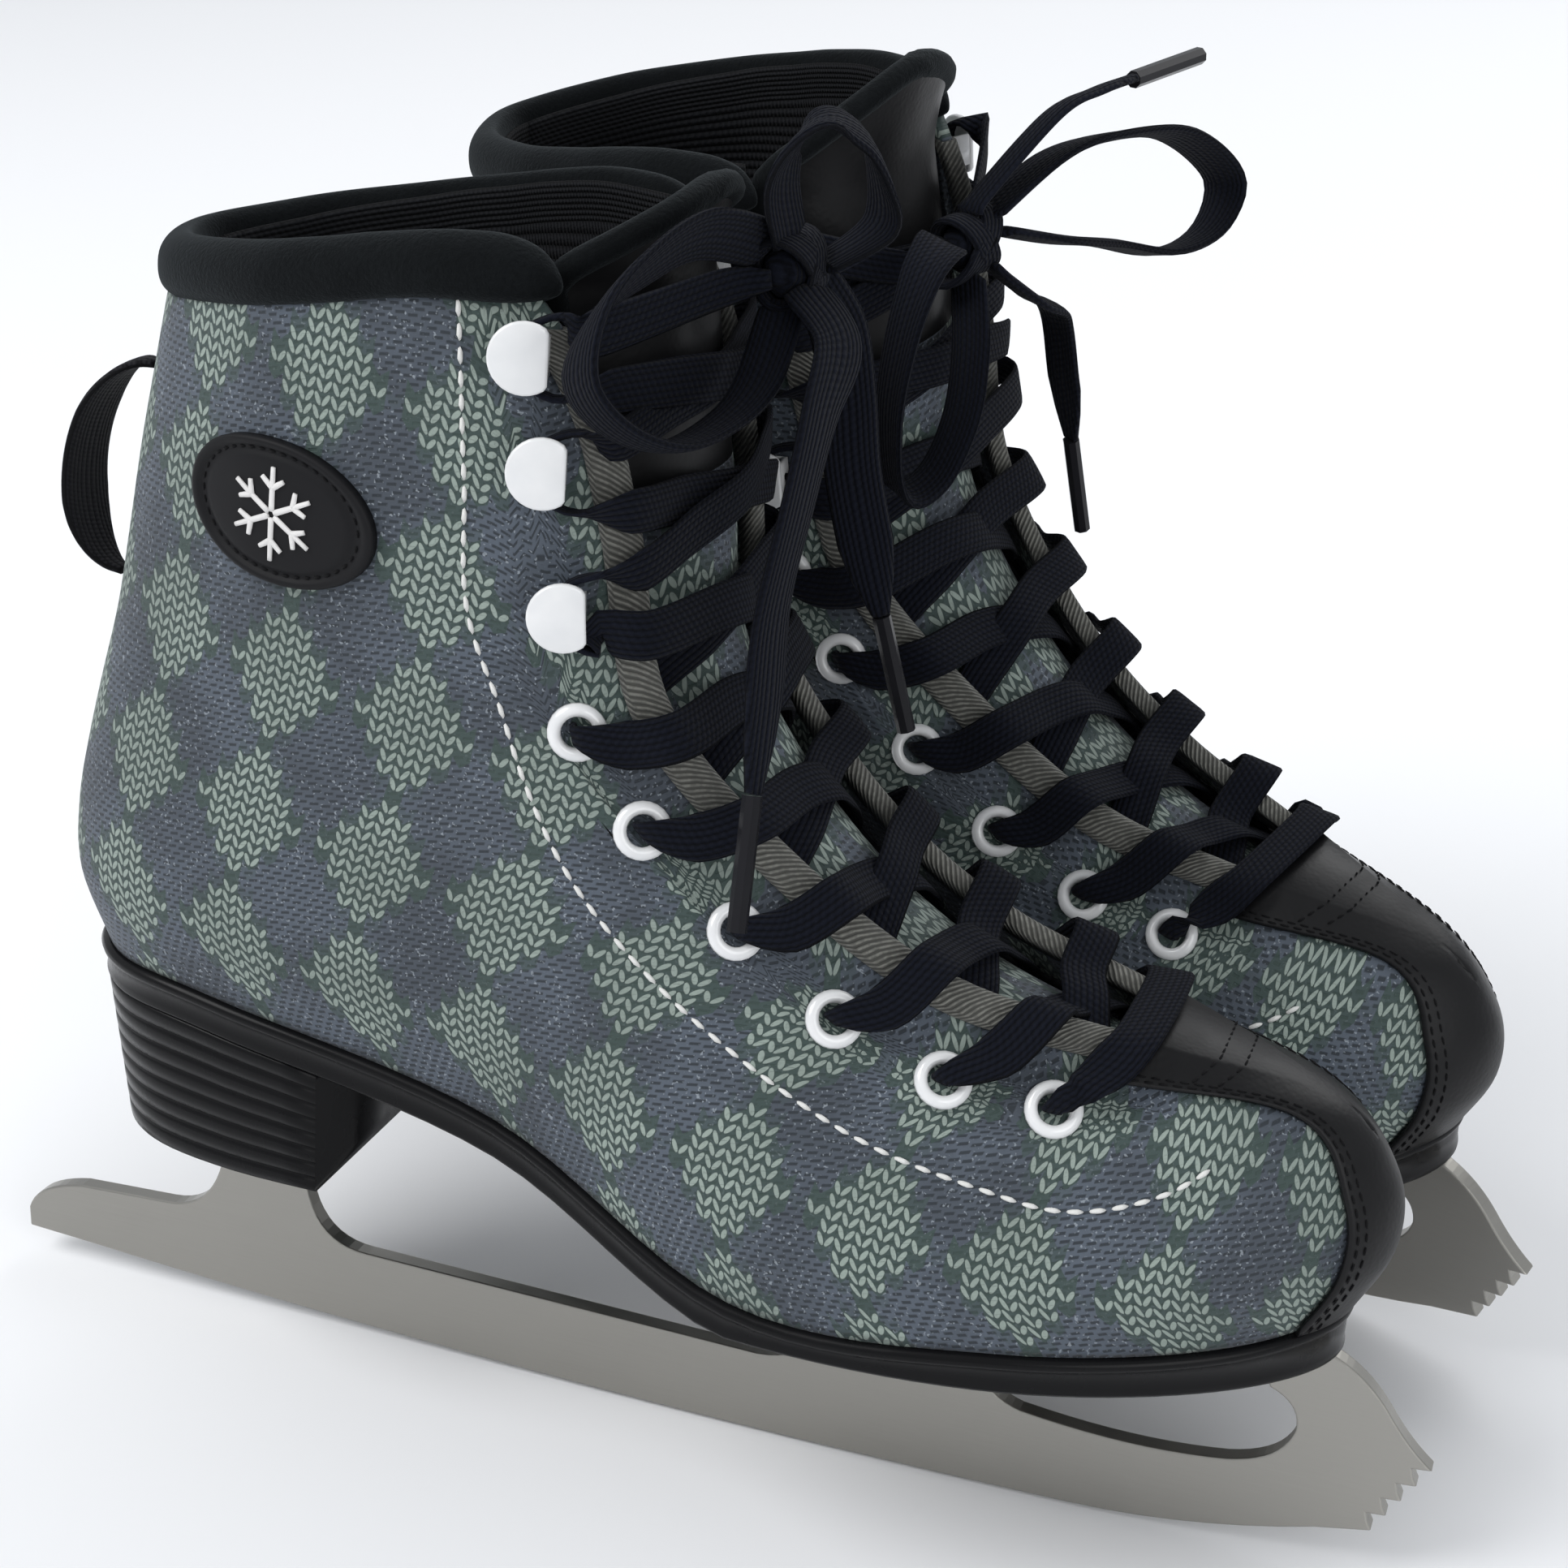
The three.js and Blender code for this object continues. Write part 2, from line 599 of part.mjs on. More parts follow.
// A run from one eyelet, over its own flap and the tongue, and under the far flap to the next one down.
function crossingStops(side, from, to, lift) {
  const at = (share) => from + (to - from) * share;
  const acrossLace = new THREE.Vector3(1, 0, 1);
  const level = (v) => skin(-1, 6, v + 0.2).sub(skin(-1, 6, v - 0.2)).setY(0).normalize();
  acrossLace.copy(level(at(0.5)));
  return [
    [skin(side, 6.45, at(0.12), overFlap + 0.6), acrossLace, laceWidth],
    [skin(side, 7, at(0.24), overFlap + 1.9), acrossLace, laceWidth],
    [acrossTongue(at(0.38), side * 0.35, lift + 2 * laceThickness), acrossLace, laceWidth],
    [acrossTongue(at(0.5), 0, lift), acrossLace, laceWidth],
    [acrossTongue(at(0.64), -side * 0.36, onTongue + 0.2), acrossLace, laceWidth],
    [acrossTongue(at(0.78), -side * 0.7, onTongue), acrossLace, laceWidth],
    [acrossTongue(at(0.94), -side * 0.97, onTongue), acrossLace, laceWidth * 0.7],
  ];
}
const liftOver = laceThickness * 2.5 + 2 * clearance;
const liftUnder = laceThickness * 0.5 + 2 * clearance;

// In a hook's own frame: a towards the front edge, b up the foot, h off the upper.
function hookPoint(side, v, a, b, h) {
  const { at, out, towards } = eyeletPlace(side, v);
  const upFoot = towards.clone().cross(out).multiplyScalar(side).normalize();
  const edgeward = out.clone().cross(upFoot).multiplyScalar(side).normalize();
  return at.clone().addScaledVector(edgeward, a).addScaledVector(upFoot, b).addScaledVector(out, h);
}

// Round the back of a hook's stem, on edge, from above to below.
function hookStops(side, v) {
  const { out } = eyeletPlace(side, v);
  const width = hookReach - 1.9;
  const h = 1.4 + hookReach / 3;
  const turn = [[8, 6.4], [4.2, 5], [1.9, 3], [1.9, -3], [4.2, -5], [8, -6.4]];
  return turn.map(([a, b]) => [hookPoint(side, v, a, b, h), out, width]);
}

// Between two hooks the lace lies over both flaps.
function hookCrossingStops(side, from, to, lift) {
  const at = (share) => from + (to - from) * share;
  const level = new THREE.Vector3(0, 0, 1);
  return [
    [skin(side, 7, at(0.28), overFlap), level, laceWidth],
    [acrossTongue(at(0.39), side * 0.45, lift + laceThickness), level, laceWidth],
    [acrossTongue(at(0.5), 0, lift), level, laceWidth],
    [acrossTongue(at(0.61), -side * 0.45, lift + laceThickness), level, laceWidth],
    [skin(-side, 7, at(0.72), overFlap), level, laceWidth],
  ];
}

// Each foot's bow, in the right skate's frame. Loops and ends run away from the knot.
const bows = {
  right: {
    knot: { at: [156, 3, 220], size: [9, 12, 11] },
    bow_loop_a: {
      points: [[152, -5, 226.5], [150, -20, 228.5], [147, -35, 226], [144, -46, 220.5], [142.5, -49.5, 211],
        [145.5, -44, 203], [150, -33, 198], [153, -20, 198.5], [155.5, -10, 203], [157, -5, 210]],
      lies: [[0.3, 0.2, 1], [0.5, -0.5, 1], [1, -0.6, 0.3], [1, -0.3, 0.2], [0.8, 0.4, 0.5]],
      runs: 16,
      loop: true,
    },
    bow_loop_b: {
      points: [[157, -1, 226.5], [157, -5, 234], [159, -7, 240], [163, -3, 244.5], [167, 4, 241.5],
        [168.5, 10, 234], [168, 12, 226.5], [164, 11, 221]],
      lies: [[0.2, 1, 0], [0.2, 1, 0.2], [-0.3, 1, 0.2], [-0.8, 0.6, 0], [-0.8, 0.6, 0]],
      runs: 14,
      loop: true,
    },
    lace_end_a: {
      points: [[162, -2, 216], [168, -7, 211], [169, -17, 202], [168, -23, 188], [166, -27, 172],
        [166.5, -31, 157], [167, -35.5, 144]],
      lies: [[0.3, 1, 0.3], [0.2, 1, 0.1], [0.2, 1, 0], [0.4, 1, 0]],
      runs: 10,
    },
    lace_end_b: {
      points: [[158, 9.5, 216], [160, 17, 208], [161, 21, 196], [162, 23, 182], [165, 24, 168], [168, 25, 156]],
      lies: [[0.6, 0.3, 0.6], [1, 0.3, 0], [0.9, 0.5, 0]],
      runs: 9,
    },
  },
  left: {
    knot: { at: [157, -1, 208], size: [9, 12, 11] },
    bow_loop_a: {
      points: [[160, -8, 208.5], [164, -22, 203], [164, -39, 197], [168, -55, 191], [170, -69, 192],
        [170, -74, 201], [168, -58, 214], [165, -38, 219], [162, -22, 219], [159, -8, 214]],
      lies: [[1, 0.2, 0.3], [1, 0.2, 0.2], [1, 0, 0.3], [1, 0, 0.3], [1, 0.2, 0.2]],
      runs: 18,
      loop: true,
    },
    bow_loop_b: {
      points: [[157, 5.5, 210], [162, 15, 213.5], [164, 24, 211], [163, 29, 201], [162, 32, 187],
        [162, 30, 172], [163, 20, 171], [164, 12, 180], [163, 7, 192], [160, 3, 201]],
      lies: [[1, 0.1, -0.3], [1, 0.3, 0], [0.9, 0.6, 0], [1, 0.3, 0], [1, 0.2, 0]],
      runs: 16,
      loop: true,
    },
    lace_end_a: {
      points: [[158, -3, 216.5], [163, -20, 227], [165, -32, 228.5], [166, -44, 228]],
      lies: [[1, 0.2, 0.4], [1, 0.2, 0.4]],
      runs: 6,
    },
    lace_end_b: {
      points: [[160.5, -4.5, 202.5], [163, -14, 194], [161, -25, 187], [160, -30, 172], [160, -33, 158]],
      lies: [[0.9, 0.4, 0], [1, 0.4, 0], [1, 0.3, 0]],
      runs: 9,
    },
  },
};

function knotApproach({ at, size }, side) {
  const level = new THREE.Vector3(0, 0, 1);
  const top = hookStations[2];
  const beside = (dx, dy, dz) => new THREE.Vector3(at[0] + dx, at[1] + side * (size[1] / 2 + dy), at[2] + dz);
  return [
    [beside(-1, 0, -1), level, laceThickness * 3],
    [beside(-7, 6, -2), level, laceWidth * 0.8],
    [skin(side, 7, top + 0.12, overFlap + 1), level, laceWidth],
  ];
}

// One lace: down one side from the knot, across the throat, and up the other side.
function laceHalf(knot, startSide) {
  const stops = [...knotApproach(knot, startSide)];
  let side = startSide;
  const hooks = [...hookStations].reverse();
  const holes = [...eyeletStations].reverse();
  const lift = startSide < 0 ? liftOver : liftUnder;
  hooks.forEach((v, i) => {
    stops.push(...hookStops(side, v));
    const next = i + 1 < hooks.length ? hooks[i + 1] : null;
    if (next === null) return;
    stops.push(...hookCrossingStops(side, v, next, lift));
    side = -side;
  });
  let from = hooks[hooks.length - 1];
  for (const to of holes) {
    stops.push(...crossingStops(side, from, to, lift));
    side = -side;
    stops.push(...holeStops(side, to, true));
    from = to;
  }
  return { stops, side };
}

function laceGeometry(knot) {
  const down = laceHalf(knot, -1);
  const up = laceHalf(knot, 1);
  const v = eyeletStations[0];
  const level = new THREE.Vector3(1, 0, 0);
  const overEdge = (side) => [
    [skin(side, 6.5, v + 0.02, overFlap + 0.4), level, laceWidth],
    [skin(side, 7, v + 0.02, overFlap), level, laceWidth],
  ];
  const bar = [...overEdge(down.side), ...overEdge(up.side).reverse()];
  return band([...down.stops, ...bar, ...up.stops.reverse()], laceThickness);
}

// ---- badge, pull loop and bow ----
function badgeGeometry() {
  const columns = steps(1, 4, step).map((u) => [-1, u]);
  const sheet = toManifold(patch([6, 7, 8], columns, clearance + badgeWall, clearance));
  const out = between(outwards[-1], badgeAt.v, badgeAt.u / step);
  const oval = drum(1, -6, 6, 28).scale(badgeLength / 2, badgeHeight / 2, 1);
  const cutter = stand(oval, skin(-1, badgeAt.u, badgeAt.v), out, new THREE.Vector3(1, 0, -0.12));
  return fromManifold(sheet.intersect(toManifold(cutter)));
}

// The webbing is sewn to the back seam at its two ends and stands off it between them.
function pullLoopGeometry() {
  const standOff = clearance + backStayWall + loopGap;
  const ends = loopRows.map((v) => skin(-1, 0, v, standOff));
  const along = ends[1].clone().sub(ends[0]);
  const out = new THREE.Vector3(-along.z, 0, along.x).normalize();
  const across = new THREE.Vector3(0, 1, 0);
  const count = 14;
  const stops = steps(0, count, 1).map((i) => {
    const angle = Math.PI * i / count;
    const centre = ends[0].clone().addScaledVector(along, (1 - Math.cos(angle)) / 2);
    centre.addScaledVector(out, loopReach * Math.sin(angle));
    return [centre, across, THREE.MathUtils.lerp(loopEndWidth, loopWidth, Math.sin(angle))];
  });
  return band(stops, loopWall);
}

function knotGeometry({ at, size }) {
  return new THREE.IcosahedronGeometry(0.5, 1).scale(...size).translate(...at);
}

// A lace leaves the knot straight out, in the direction of a point near it.
function outOfKnot({ at, size }, point) {
  const centre = new THREE.Vector3(...at);
  const out = new THREE.Vector3(...point).sub(centre);
  const reach = out.length() / Math.hypot(...size.map((d, i) => out.getComponent(i) / (d / 2)));
  out.normalize();
  return [knotGap, knotLead].map((d) => centre.clone().addScaledVector(out, reach + d));
}

// A loose run of lace from the knot, with the directions its width lies in along the way. A loop comes
// back to the knot. The lace is bunched where it meets the knot.
function looseLace(knot, { points, lies, runs, loop }) {
  const free = points.slice(1, loop ? -1 : undefined).map((p) => new THREE.Vector3(...p));
  const through = [...outOfKnot(knot, points[0]), ...free];
  if (loop) through.push(...outOfKnot(knot, points[points.length - 1]).reverse());
  const path = new THREE.CatmullRomCurve3(through, false, 'centripetal');
  const widths = new THREE.CatmullRomCurve3(lies.map((p) => new THREE.Vector3(...p)));
  const stops = steps(0, runs, 1).map((i) => {
    const fromKnot = loop ? Math.min(i, runs - i) : i;
    const width = THREE.MathUtils.lerp(bunchedWidth, looseLaceWidth, Math.min(1, fromKnot / 3));
    return [path.getPointAt(i / runs), widths.getPoint(i / runs), width];
  });
  return band(stops, looseLaceThickness);
}

function agletGeometry({ points }) {
  const tip = new THREE.Vector3(...points[points.length - 1]);
  const along = tip.clone().sub(new THREE.Vector3(...points[points.length - 2])).normalize();
  return stand(drum(agletRadius, clearance, agletLength + clearance, 8), tip, along, new THREE.Vector3(0.3, 1, 0.2));
}

const parts = [];
parts.push(['blade', bladeGeometry(), steel]);
parts.push(['toe_plate', plateGeometry(...toePlate), plateSteel]);
parts.push(['heel_plate', plateGeometry(...heelPlate), plateSteel]);
parts.push(['outsole', outsoleGeometry(), rubber]);
parts.push(['heel', heelGeometry(), rubber]);
parts.push(['insole', insoleGeometry(), board]);
parts.push(['upper_outer', upperGeometry(-1), knit]);
parts.push(['upper_inner', upperGeometry(1), knit]);
parts.push(['lining', liningGeometry(), fleece]);
parts.push(['toe_strip', toeStripGeometry(), leather]);
parts.push(['binding_outer', bindingGeometry(-1), twill]);
parts.push(['binding_inner', bindingGeometry(1), twill]);
parts.push(['back_stay', backStayGeometry(), twill]);
parts.push(['eyelets_outer', eyeletsGeometry(-1), enamel]);
parts.push(['eyelets_inner', eyeletsGeometry(1), enamel]);
parts.push(['hooks_outer', hooksGeometry(-1), enamel]);
parts.push(['hooks_inner', hooksGeometry(1), enamel]);
parts.push(['collar', collarGeometry(), fleece]);
parts.push(['tongue', tongueGeometry(), leather]);
parts.push(['badge', badgeGeometry(), rubber]);
parts.push(['pull_loop', pullLoopGeometry(), webbing]);

function tiedParts(bow) {
  const loose = ['bow_loop_a', 'bow_loop_b', 'lace_end_a', 'lace_end_b'];
  return [
    ['lace', laceGeometry(bow.knot), cord],
    ['lace_knot', knotGeometry(bow.knot), cord],
    ...loose.map((name) => [name, looseLace(bow.knot, bow[name]), cord]),
    ['aglet_a', agletGeometry(bow.lace_end_a), clearPlastic],
    ['aglet_b', agletGeometry(bow.lace_end_b), clearPlastic],
  ];
}

// ---- the pair ----
const pair = new THREE.Group();
for (const [foot, mirror] of [['right', 1], ['left', -1]]) {
  const skate = new THREE.Group();
  const stance = new THREE.Group();
  for (const [name, geometry, material] of [...parts, ...tiedParts(bows[foot])]) {
    const mesh = new THREE.Mesh(geometry, material);
    mesh.name = `${foot}_${name}`;
    mesh.position.set(-bladeMiddle, 0, 0);
    skate.add(mesh);
  }
  skate.rotation.set(THREE.MathUtils.degToRad(-lean), 0, THREE.MathUtils.degToRad(toeIn), 'ZYX');
  skate.position.set(0, -halfSpacing, 0);
  stance.scale.set(1, mirror, 1);
  stance.add(skate);
  pair.add(stance);
}

// The pair stands on its own footprint's middle; the loose laces are not counted in it.
const loose = /bow_loop|lace_end|aglet/;
pair.updateMatrixWorld(true);
const footprint = new THREE.Box3();
pair.traverse((node) => {
  if (node.isMesh && !loose.test(node.name)) footprint.expandByObject(node, true);
});
for (const stance of pair.children) {
  stance.position.x -= (footprint.min.x + footprint.max.x) / 2;
  stance.position.z -= footprint.min.z;
}

export default pair;
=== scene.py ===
"""A pair of laced figure skates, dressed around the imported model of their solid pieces."""
import functools
import math

import bmesh
import bpy
from bpy.props import FloatProperty, FloatVectorProperty, PointerProperty
from mathutils import Matrix, Vector, noise


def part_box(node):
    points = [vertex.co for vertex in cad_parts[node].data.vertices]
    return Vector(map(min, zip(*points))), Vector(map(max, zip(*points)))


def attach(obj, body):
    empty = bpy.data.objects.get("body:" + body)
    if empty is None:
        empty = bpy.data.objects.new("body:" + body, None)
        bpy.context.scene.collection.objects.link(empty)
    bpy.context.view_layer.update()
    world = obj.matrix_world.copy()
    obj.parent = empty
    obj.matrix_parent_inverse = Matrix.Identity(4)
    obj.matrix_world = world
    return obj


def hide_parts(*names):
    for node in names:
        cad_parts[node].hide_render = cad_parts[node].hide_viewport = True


bl_info = {
    "name": "Figure skates",
    "version": (1, 0, 0),
    "blender": (4, 5, 0),
    "location": "3D Viewport > Sidebar > Skates",
    "description": "Makes the cloth, leather, laces, sole and blades of a pair of figure skates",
    "category": "Object",
}

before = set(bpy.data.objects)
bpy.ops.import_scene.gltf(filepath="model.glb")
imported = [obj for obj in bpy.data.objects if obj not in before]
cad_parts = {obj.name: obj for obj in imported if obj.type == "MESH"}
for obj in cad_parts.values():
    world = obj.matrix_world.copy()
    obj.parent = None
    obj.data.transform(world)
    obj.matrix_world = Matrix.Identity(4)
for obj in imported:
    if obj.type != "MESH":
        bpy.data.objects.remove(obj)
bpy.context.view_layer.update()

MM = 0.001
FEET = ("right", "left")
SIDES = (-1, 1)                  # outer and inner side of a foot

# ---- the skates' place in the frame, and the sizes their pieces share ----
TOE_IN = math.radians(8.3)
LEAN = math.radians(5.2)
HALF_SPACING = 54.4
BLADE_MIDDLE = 145.0
BLADE_HALF = 1.75                # half a blade's thickness
BLADE_LIFT = 0.1565              # brings the lower edge of a leaning blade up to the floor
TAIL_HEIGHT = 10.0               # top of the upright end of a blade's tail
CLEARANCE = 0.35
SOLE_HEIGHT = 45.0
SOLE_THICKNESS = 7.0
UPPER_WALL = 2.2
LINING_WALL = 0.6
BINDING_WALL = 0.9
BACK_STAY_WALL = 2.0
LACE_WALL = 1.1
TONGUE_WALL = 2.8
TONGUE_DEPTH = UPPER_WALL + LINING_WALL + LACE_WALL + 6 * CLEARANCE
HOOK_REACH = 4.6

# ---- places on the upper: u runs along a row of the sections below, v up the foot ----
FRONT = 7.0                      # the flap's front edge, and the middle of the toe
FLAP_LINE = 6.0                  # the line of the eyelets and hooks
TUCK = 6.5                       # where the tongue's edge lies under the flap
THROAT = 4                       # foot of the opening
CUFF = 9                         # top of the boot
EYELETS = (4.0, 4.65, 5.3, 5.9, 6.5, 7.03)
HOOKS = (7.65, 8.3, 8.78)

# Sections of a foot's outer side, in millimetres, from the feather line up to the cuff. Each row
# runs from the back seam, round the side, to the middle of the toe or to the front edge.
SECTIONS = (
    ((26, 0, 82.5), (36, -18.5, 82.8), (62, -26.8, 81.8), (118, -28.6, 70.8),
     (168, -39.8, 51.9), (214, -36.8, 52.3), (250, -20.8, 53.3), (265.8, 0, 54.9)),
    ((21.5, 0, 97), (32, -20.5, 97), (62, -30, 95.5), (120, -31.5, 84.5),
     (170, -40.5, 65.5), (216, -37.3, 64), (253.5, -22, 65.5), (271.5, 0, 67.5)),
    ((21.8, 0, 110), (33, -21, 110), (64, -31.5, 108.5), (122, -33, 97.5),
     (172, -38.2, 78), (216, -33.6, 75), (252, -19.8, 77.5), (270, 0, 79.5)),
    ((24.5, 0, 122), (36, -21.5, 122), (67, -32, 120.5), (121, -34, 109.5),
     (172, -36, 88), (213, -29.5, 83.5), (244, -15.5, 90), (259, 0, 91.5)),
    ((28, 0, 135), (40, -22, 135), (70, -32.5, 134), (116, -35, 123),
     (152, -35, 106.5), (187, -31.5, 91.5), (217, -22, 91.5), (227.5, -9.5, 101)),
    ((32, 0, 149), (44, -22, 149), (72, -33, 148), (106, -35.5, 141),
     (135, -36, 126.5), (163, -33.5, 110.5), (189, -27.5, 98.5), (197, -16.5, 109)),
    ((35.5, 0, 164), (47, -22.5, 164), (73, -34, 163.5), (98, -36.5, 160),
     (119, -36.8, 152), (140, -35.5, 138), (160.5, -31, 119.5), (171, -20.5, 126.3)),
    ((39.3, 0, 181), (50.3, -23, 181), (74, -35, 181), (94, -38, 179),
     (108, -38.3, 173.5), (122, -37, 163), (136.5, -34.5, 148), (149, -27, 152)),
    ((43, 0, 196), (54, -23.5, 196.5), (76, -36, 197.5), (93, -38.8, 197.5),
     (105, -39, 195.5), (117, -38.5, 190.5), (130, -36, 182), (143.5, -29, 182.5)),
    ((46.3, 0, 209), (57, -23.5, 210.5), (77.5, -36.5, 213.5), (93, -39.5, 216),
     (103, -39.8, 217.8), (113, -39.3, 219), (124, -36.8, 219), (136, -32, 218.5)),
)
INNER_WIDTHS = ((30, 1), (110, 0.9), (185, 0.91), (217, 1.04), (240, 1.16), (256, 1.24), (272, 1.24))
INNER_SHAFT_WIDTH = 0.87

# ---- the bows, in the right skate's own frame: the same routes as their solids ----
BOWS = {
    "right": {
        "knot": ((156, 3, 220), (9, 12, 11)),
        "bow_loop_a": (
            ((152, -5, 226.5), (150, -20, 228.5), (147, -35, 226), (144, -46, 220.5), (142.5, -49.5, 211),
             (145.5, -44, 203), (150, -33, 198), (153, -20, 198.5), (155.5, -10, 203), (157, -5, 210)),
            ((0.3, 0.2, 1), (0.5, -0.5, 1), (1, -0.6, 0.3), (1, -0.3, 0.2), (0.8, 0.4, 0.5))),
        "bow_loop_b": (
            ((157, -1, 226.5), (157, -5, 234), (159, -7, 240), (163, -3, 244.5), (167, 4, 241.5),
             (168.5, 10, 234), (168, 12, 226.5), (164, 11, 221)),
            ((0.2, 1, 0), (0.2, 1, 0.2), (-0.3, 1, 0.2), (-0.8, 0.6, 0), (-0.8, 0.6, 0))),
        "lace_end_a": (
            ((162, -2, 216), (168, -7, 211), (169, -17, 202), (168, -23, 188), (166, -27, 172),
             (166.5, -31, 157), (167, -35.5, 144)),
            ((0.3, 1, 0.3), (0.2, 1, 0.1), (0.2, 1, 0), (0.4, 1, 0))),
        "lace_end_b": (
            ((158, 9.5, 216), (160, 17, 208), (161, 21, 196), (162, 23, 182), (165, 24, 168), (168, 25, 156)),
            ((0.6, 0.3, 0.6), (1, 0.3, 0), (0.9, 0.5, 0))),
    },
    "left": {
        "knot": ((157, -1, 208), (9, 12, 11)),
        "bow_loop_a": (
            ((160, -8, 208.5), (164, -22, 203), (164, -39, 197), (168, -55, 191), (170, -69, 192),
             (170, -74, 201), (168, -58, 214), (165, -38, 219), (162, -22, 219), (159, -8, 214)),
            ((1, 0.2, 0.3), (1, 0.2, 0.2), (1, 0, 0.3), (1, 0, 0.3), (1, 0.2, 0.2))),
        "bow_loop_b": (
            ((157, 5.5, 210), (162, 15, 213.5), (164, 24, 211), (163, 29, 201), (162, 32, 187),
             (162, 30, 172), (163, 20, 171), (164, 12, 180), (163, 7, 192), (160, 3, 201)),
            ((1, 0.1, -0.3), (1, 0.3, 0), (0.9, 0.6, 0), (1, 0.3, 0), (1, 0.2, 0))),
        "lace_end_a": (
            ((158, -3, 216.5), (163, -20, 227), (165, -32, 228.5), (166, -44, 228)),
            ((1, 0.2, 0.4), (1, 0.2, 0.4))),
        "lace_end_b": (
            ((160.5, -4.5, 202.5), (163, -14, 194), (161, -25, 187), (160, -30, 172), (160, -33, 158)),
            ((0.9, 0.4, 0), (1, 0.4, 0), (1, 0.3, 0))),
    },
}


def placement(foot):
    """Millimetres of a skate's own frame to metres of the shared frame."""
    turn = Matrix.Rotation(TOE_IN, 4, "Z") @ Matrix.Rotation(-LEAN, 4, "X")
    stand = Matrix.Translation((0, -HALF_SPACING, 0)) @ turn @ Matrix.Translation((-BLADE_MIDDLE, 0, 0))
    if foot == "left":
        stand = Matrix.Diagonal((1, -1, 1, 1)) @ stand
    tail = min((stand @ Vector((0, y, TAIL_HEIGHT))).x for y in (-BLADE_HALF, BLADE_HALF))
    low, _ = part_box(f"{foot}_blade")
    shift = Matrix.Translation((low.x / MM - tail, 0, BLADE_LIFT))
    return Matrix.Scale(MM, 4) @ shift @ stand


PLACES = {foot: placement(foot) for foot in FEET}


# ---- the surface of the boot ----
def lerp(a, b, t):
    return a + (b - a) * t


def curve_through(before, a, b, after, t):
    """A smooth step from a to b, bent by the points before and after them."""
    t2, t3 = t * t, t * t * t
    return (before * (-t3 + 2 * t2 - t) + a * (3 * t3 - 5 * t2 + 2) + b * (-3 * t3 + 4 * t2 + t)
            + after * (t3 - t2)) / 2


def inner_width(x, z):
    """The inner side's width as a share of the outer side's."""
    share = INNER_WIDTHS[-1][1]
    for (x0, w0), (x1, w1) in reversed(tuple(zip(INNER_WIDTHS, INNER_WIDTHS[1:]))):
        if x < x1:
            share = lerp(w0, w1, max(0.0, (x - x0) / (x1 - x0)))
    return lerp(INNER_SHAFT_WIDTH, share, min(1.0, max(0.0, (150 - z) / 60)))


ROWS = [[Vector(p) for p in row] for row in SECTIONS]


def along_row(v, u):
    """A point of one row of the outer side, u of the way along it."""
    row = ROWS[v]
    last = len(row) - 1
    i = min(int(u), last - 1)
    flip = Vector((1, -1, 1))
    before = row[i - 1] if i else row[1] * flip
    beyond = row[last - 1] * flip if v < THROAT else row[last] * 2 - row[last - 1]
    after = row[i + 2] if i + 2 <= last else beyond
    return curve_through(before, row[i], row[i + 1], after, u - i)


@functools.lru_cache(maxsize=None)
def surface(side, u, v):
    """A point of the upper's outer face."""
    k = min(int(v), CUFF - 1)
    rows = [along_row(min(max(i, 0), CUFF), u) for i in (k - 1, k, k + 1, k + 2)]
    if k == 0:
        rows[0] = rows[1] * 2 - rows[2]
    if k + 2 > CUFF:
        rows[3] = rows[2] * 2 - rows[1]
    p = curve_through(*rows, v - k)
    if side > 0:
        p.y *= -inner_width(p.x, p.z)
    return p


@functools.lru_cache(maxsize=None)
def outward(side, u, v):
    """The direction straight out of the upper."""
    d = 0.02
    along = surface(side, min(u + d, FRONT), v) - surface(side, max(u - d, 0), v)
    up = surface(side, u, min(v + d, CUFF)) - surface(side, u, max(v - d, 0))
    if u < d:
        along, up.y = Vector((0, side, 0)), 0
    if u > FRONT - d and v < THROAT - 0.5:
        along, up.y = Vector((0, -side, 0)), 0
    return (along.cross(up) * -side).normalized()


def skin(side, u, v, height=0.0):
    return surface(side, u, v) + outward(side, u, v) * height


def across_tongue(v, s, height):
    """Across the front opening: s runs from -1 at the outer flap to +1 at the inner flap."""
    a, d = (skin(side, TUCK, v, -TONGUE_DEPTH) for side in SIDES)
    pull_a, pull_d = ((skin(side, FRONT, v, -TONGUE_DEPTH) - root).normalized()
                      for side, root in ((-1, a), (1, d)))
    reach = (a - d).length * 0.4
    b, c = a + pull_a * reach, d + pull_d * reach
    t = (s + 1) / 2
    point = a * (1 - t) ** 3 + b * 3 * t * (1 - t) ** 2 + c * 3 * t * t * (1 - t) + d * t ** 3
    tangent = (b - a) * (1 - t) ** 2 + (c - b) * 2 * t * (1 - t) + (d - c) * t * t
    upward = surface(-1, TUCK, min(v + 0.5, CUFF)) - surface(-1, TUCK, max(v - 0.5, THROAT))
    upward.y = 0
    return point + tangent.cross(upward).normalized() * height


# ---- meshes ----
def finish_mesh(name, foot, bm, material, smooth=True):
    """Places a mesh built in a skate's own frame, and links it with its material."""
    bmesh.ops.transform(bm, matrix=PLACES[foot], verts=bm.verts)
    if foot == "left":
        bmesh.ops.reverse_faces(bm, faces=bm.faces)
    mesh = bpy.data.meshes.new(f"{name}_{foot}")
    bm.to_mesh(mesh)
    bm.free()
    if smooth:
        mesh.shade_smooth()
    obj = bpy.data.objects.new(f"{name}_{foot}", mesh)
    bpy.context.scene.collection.objects.link(obj)
    mesh.materials.append(material)
    return obj


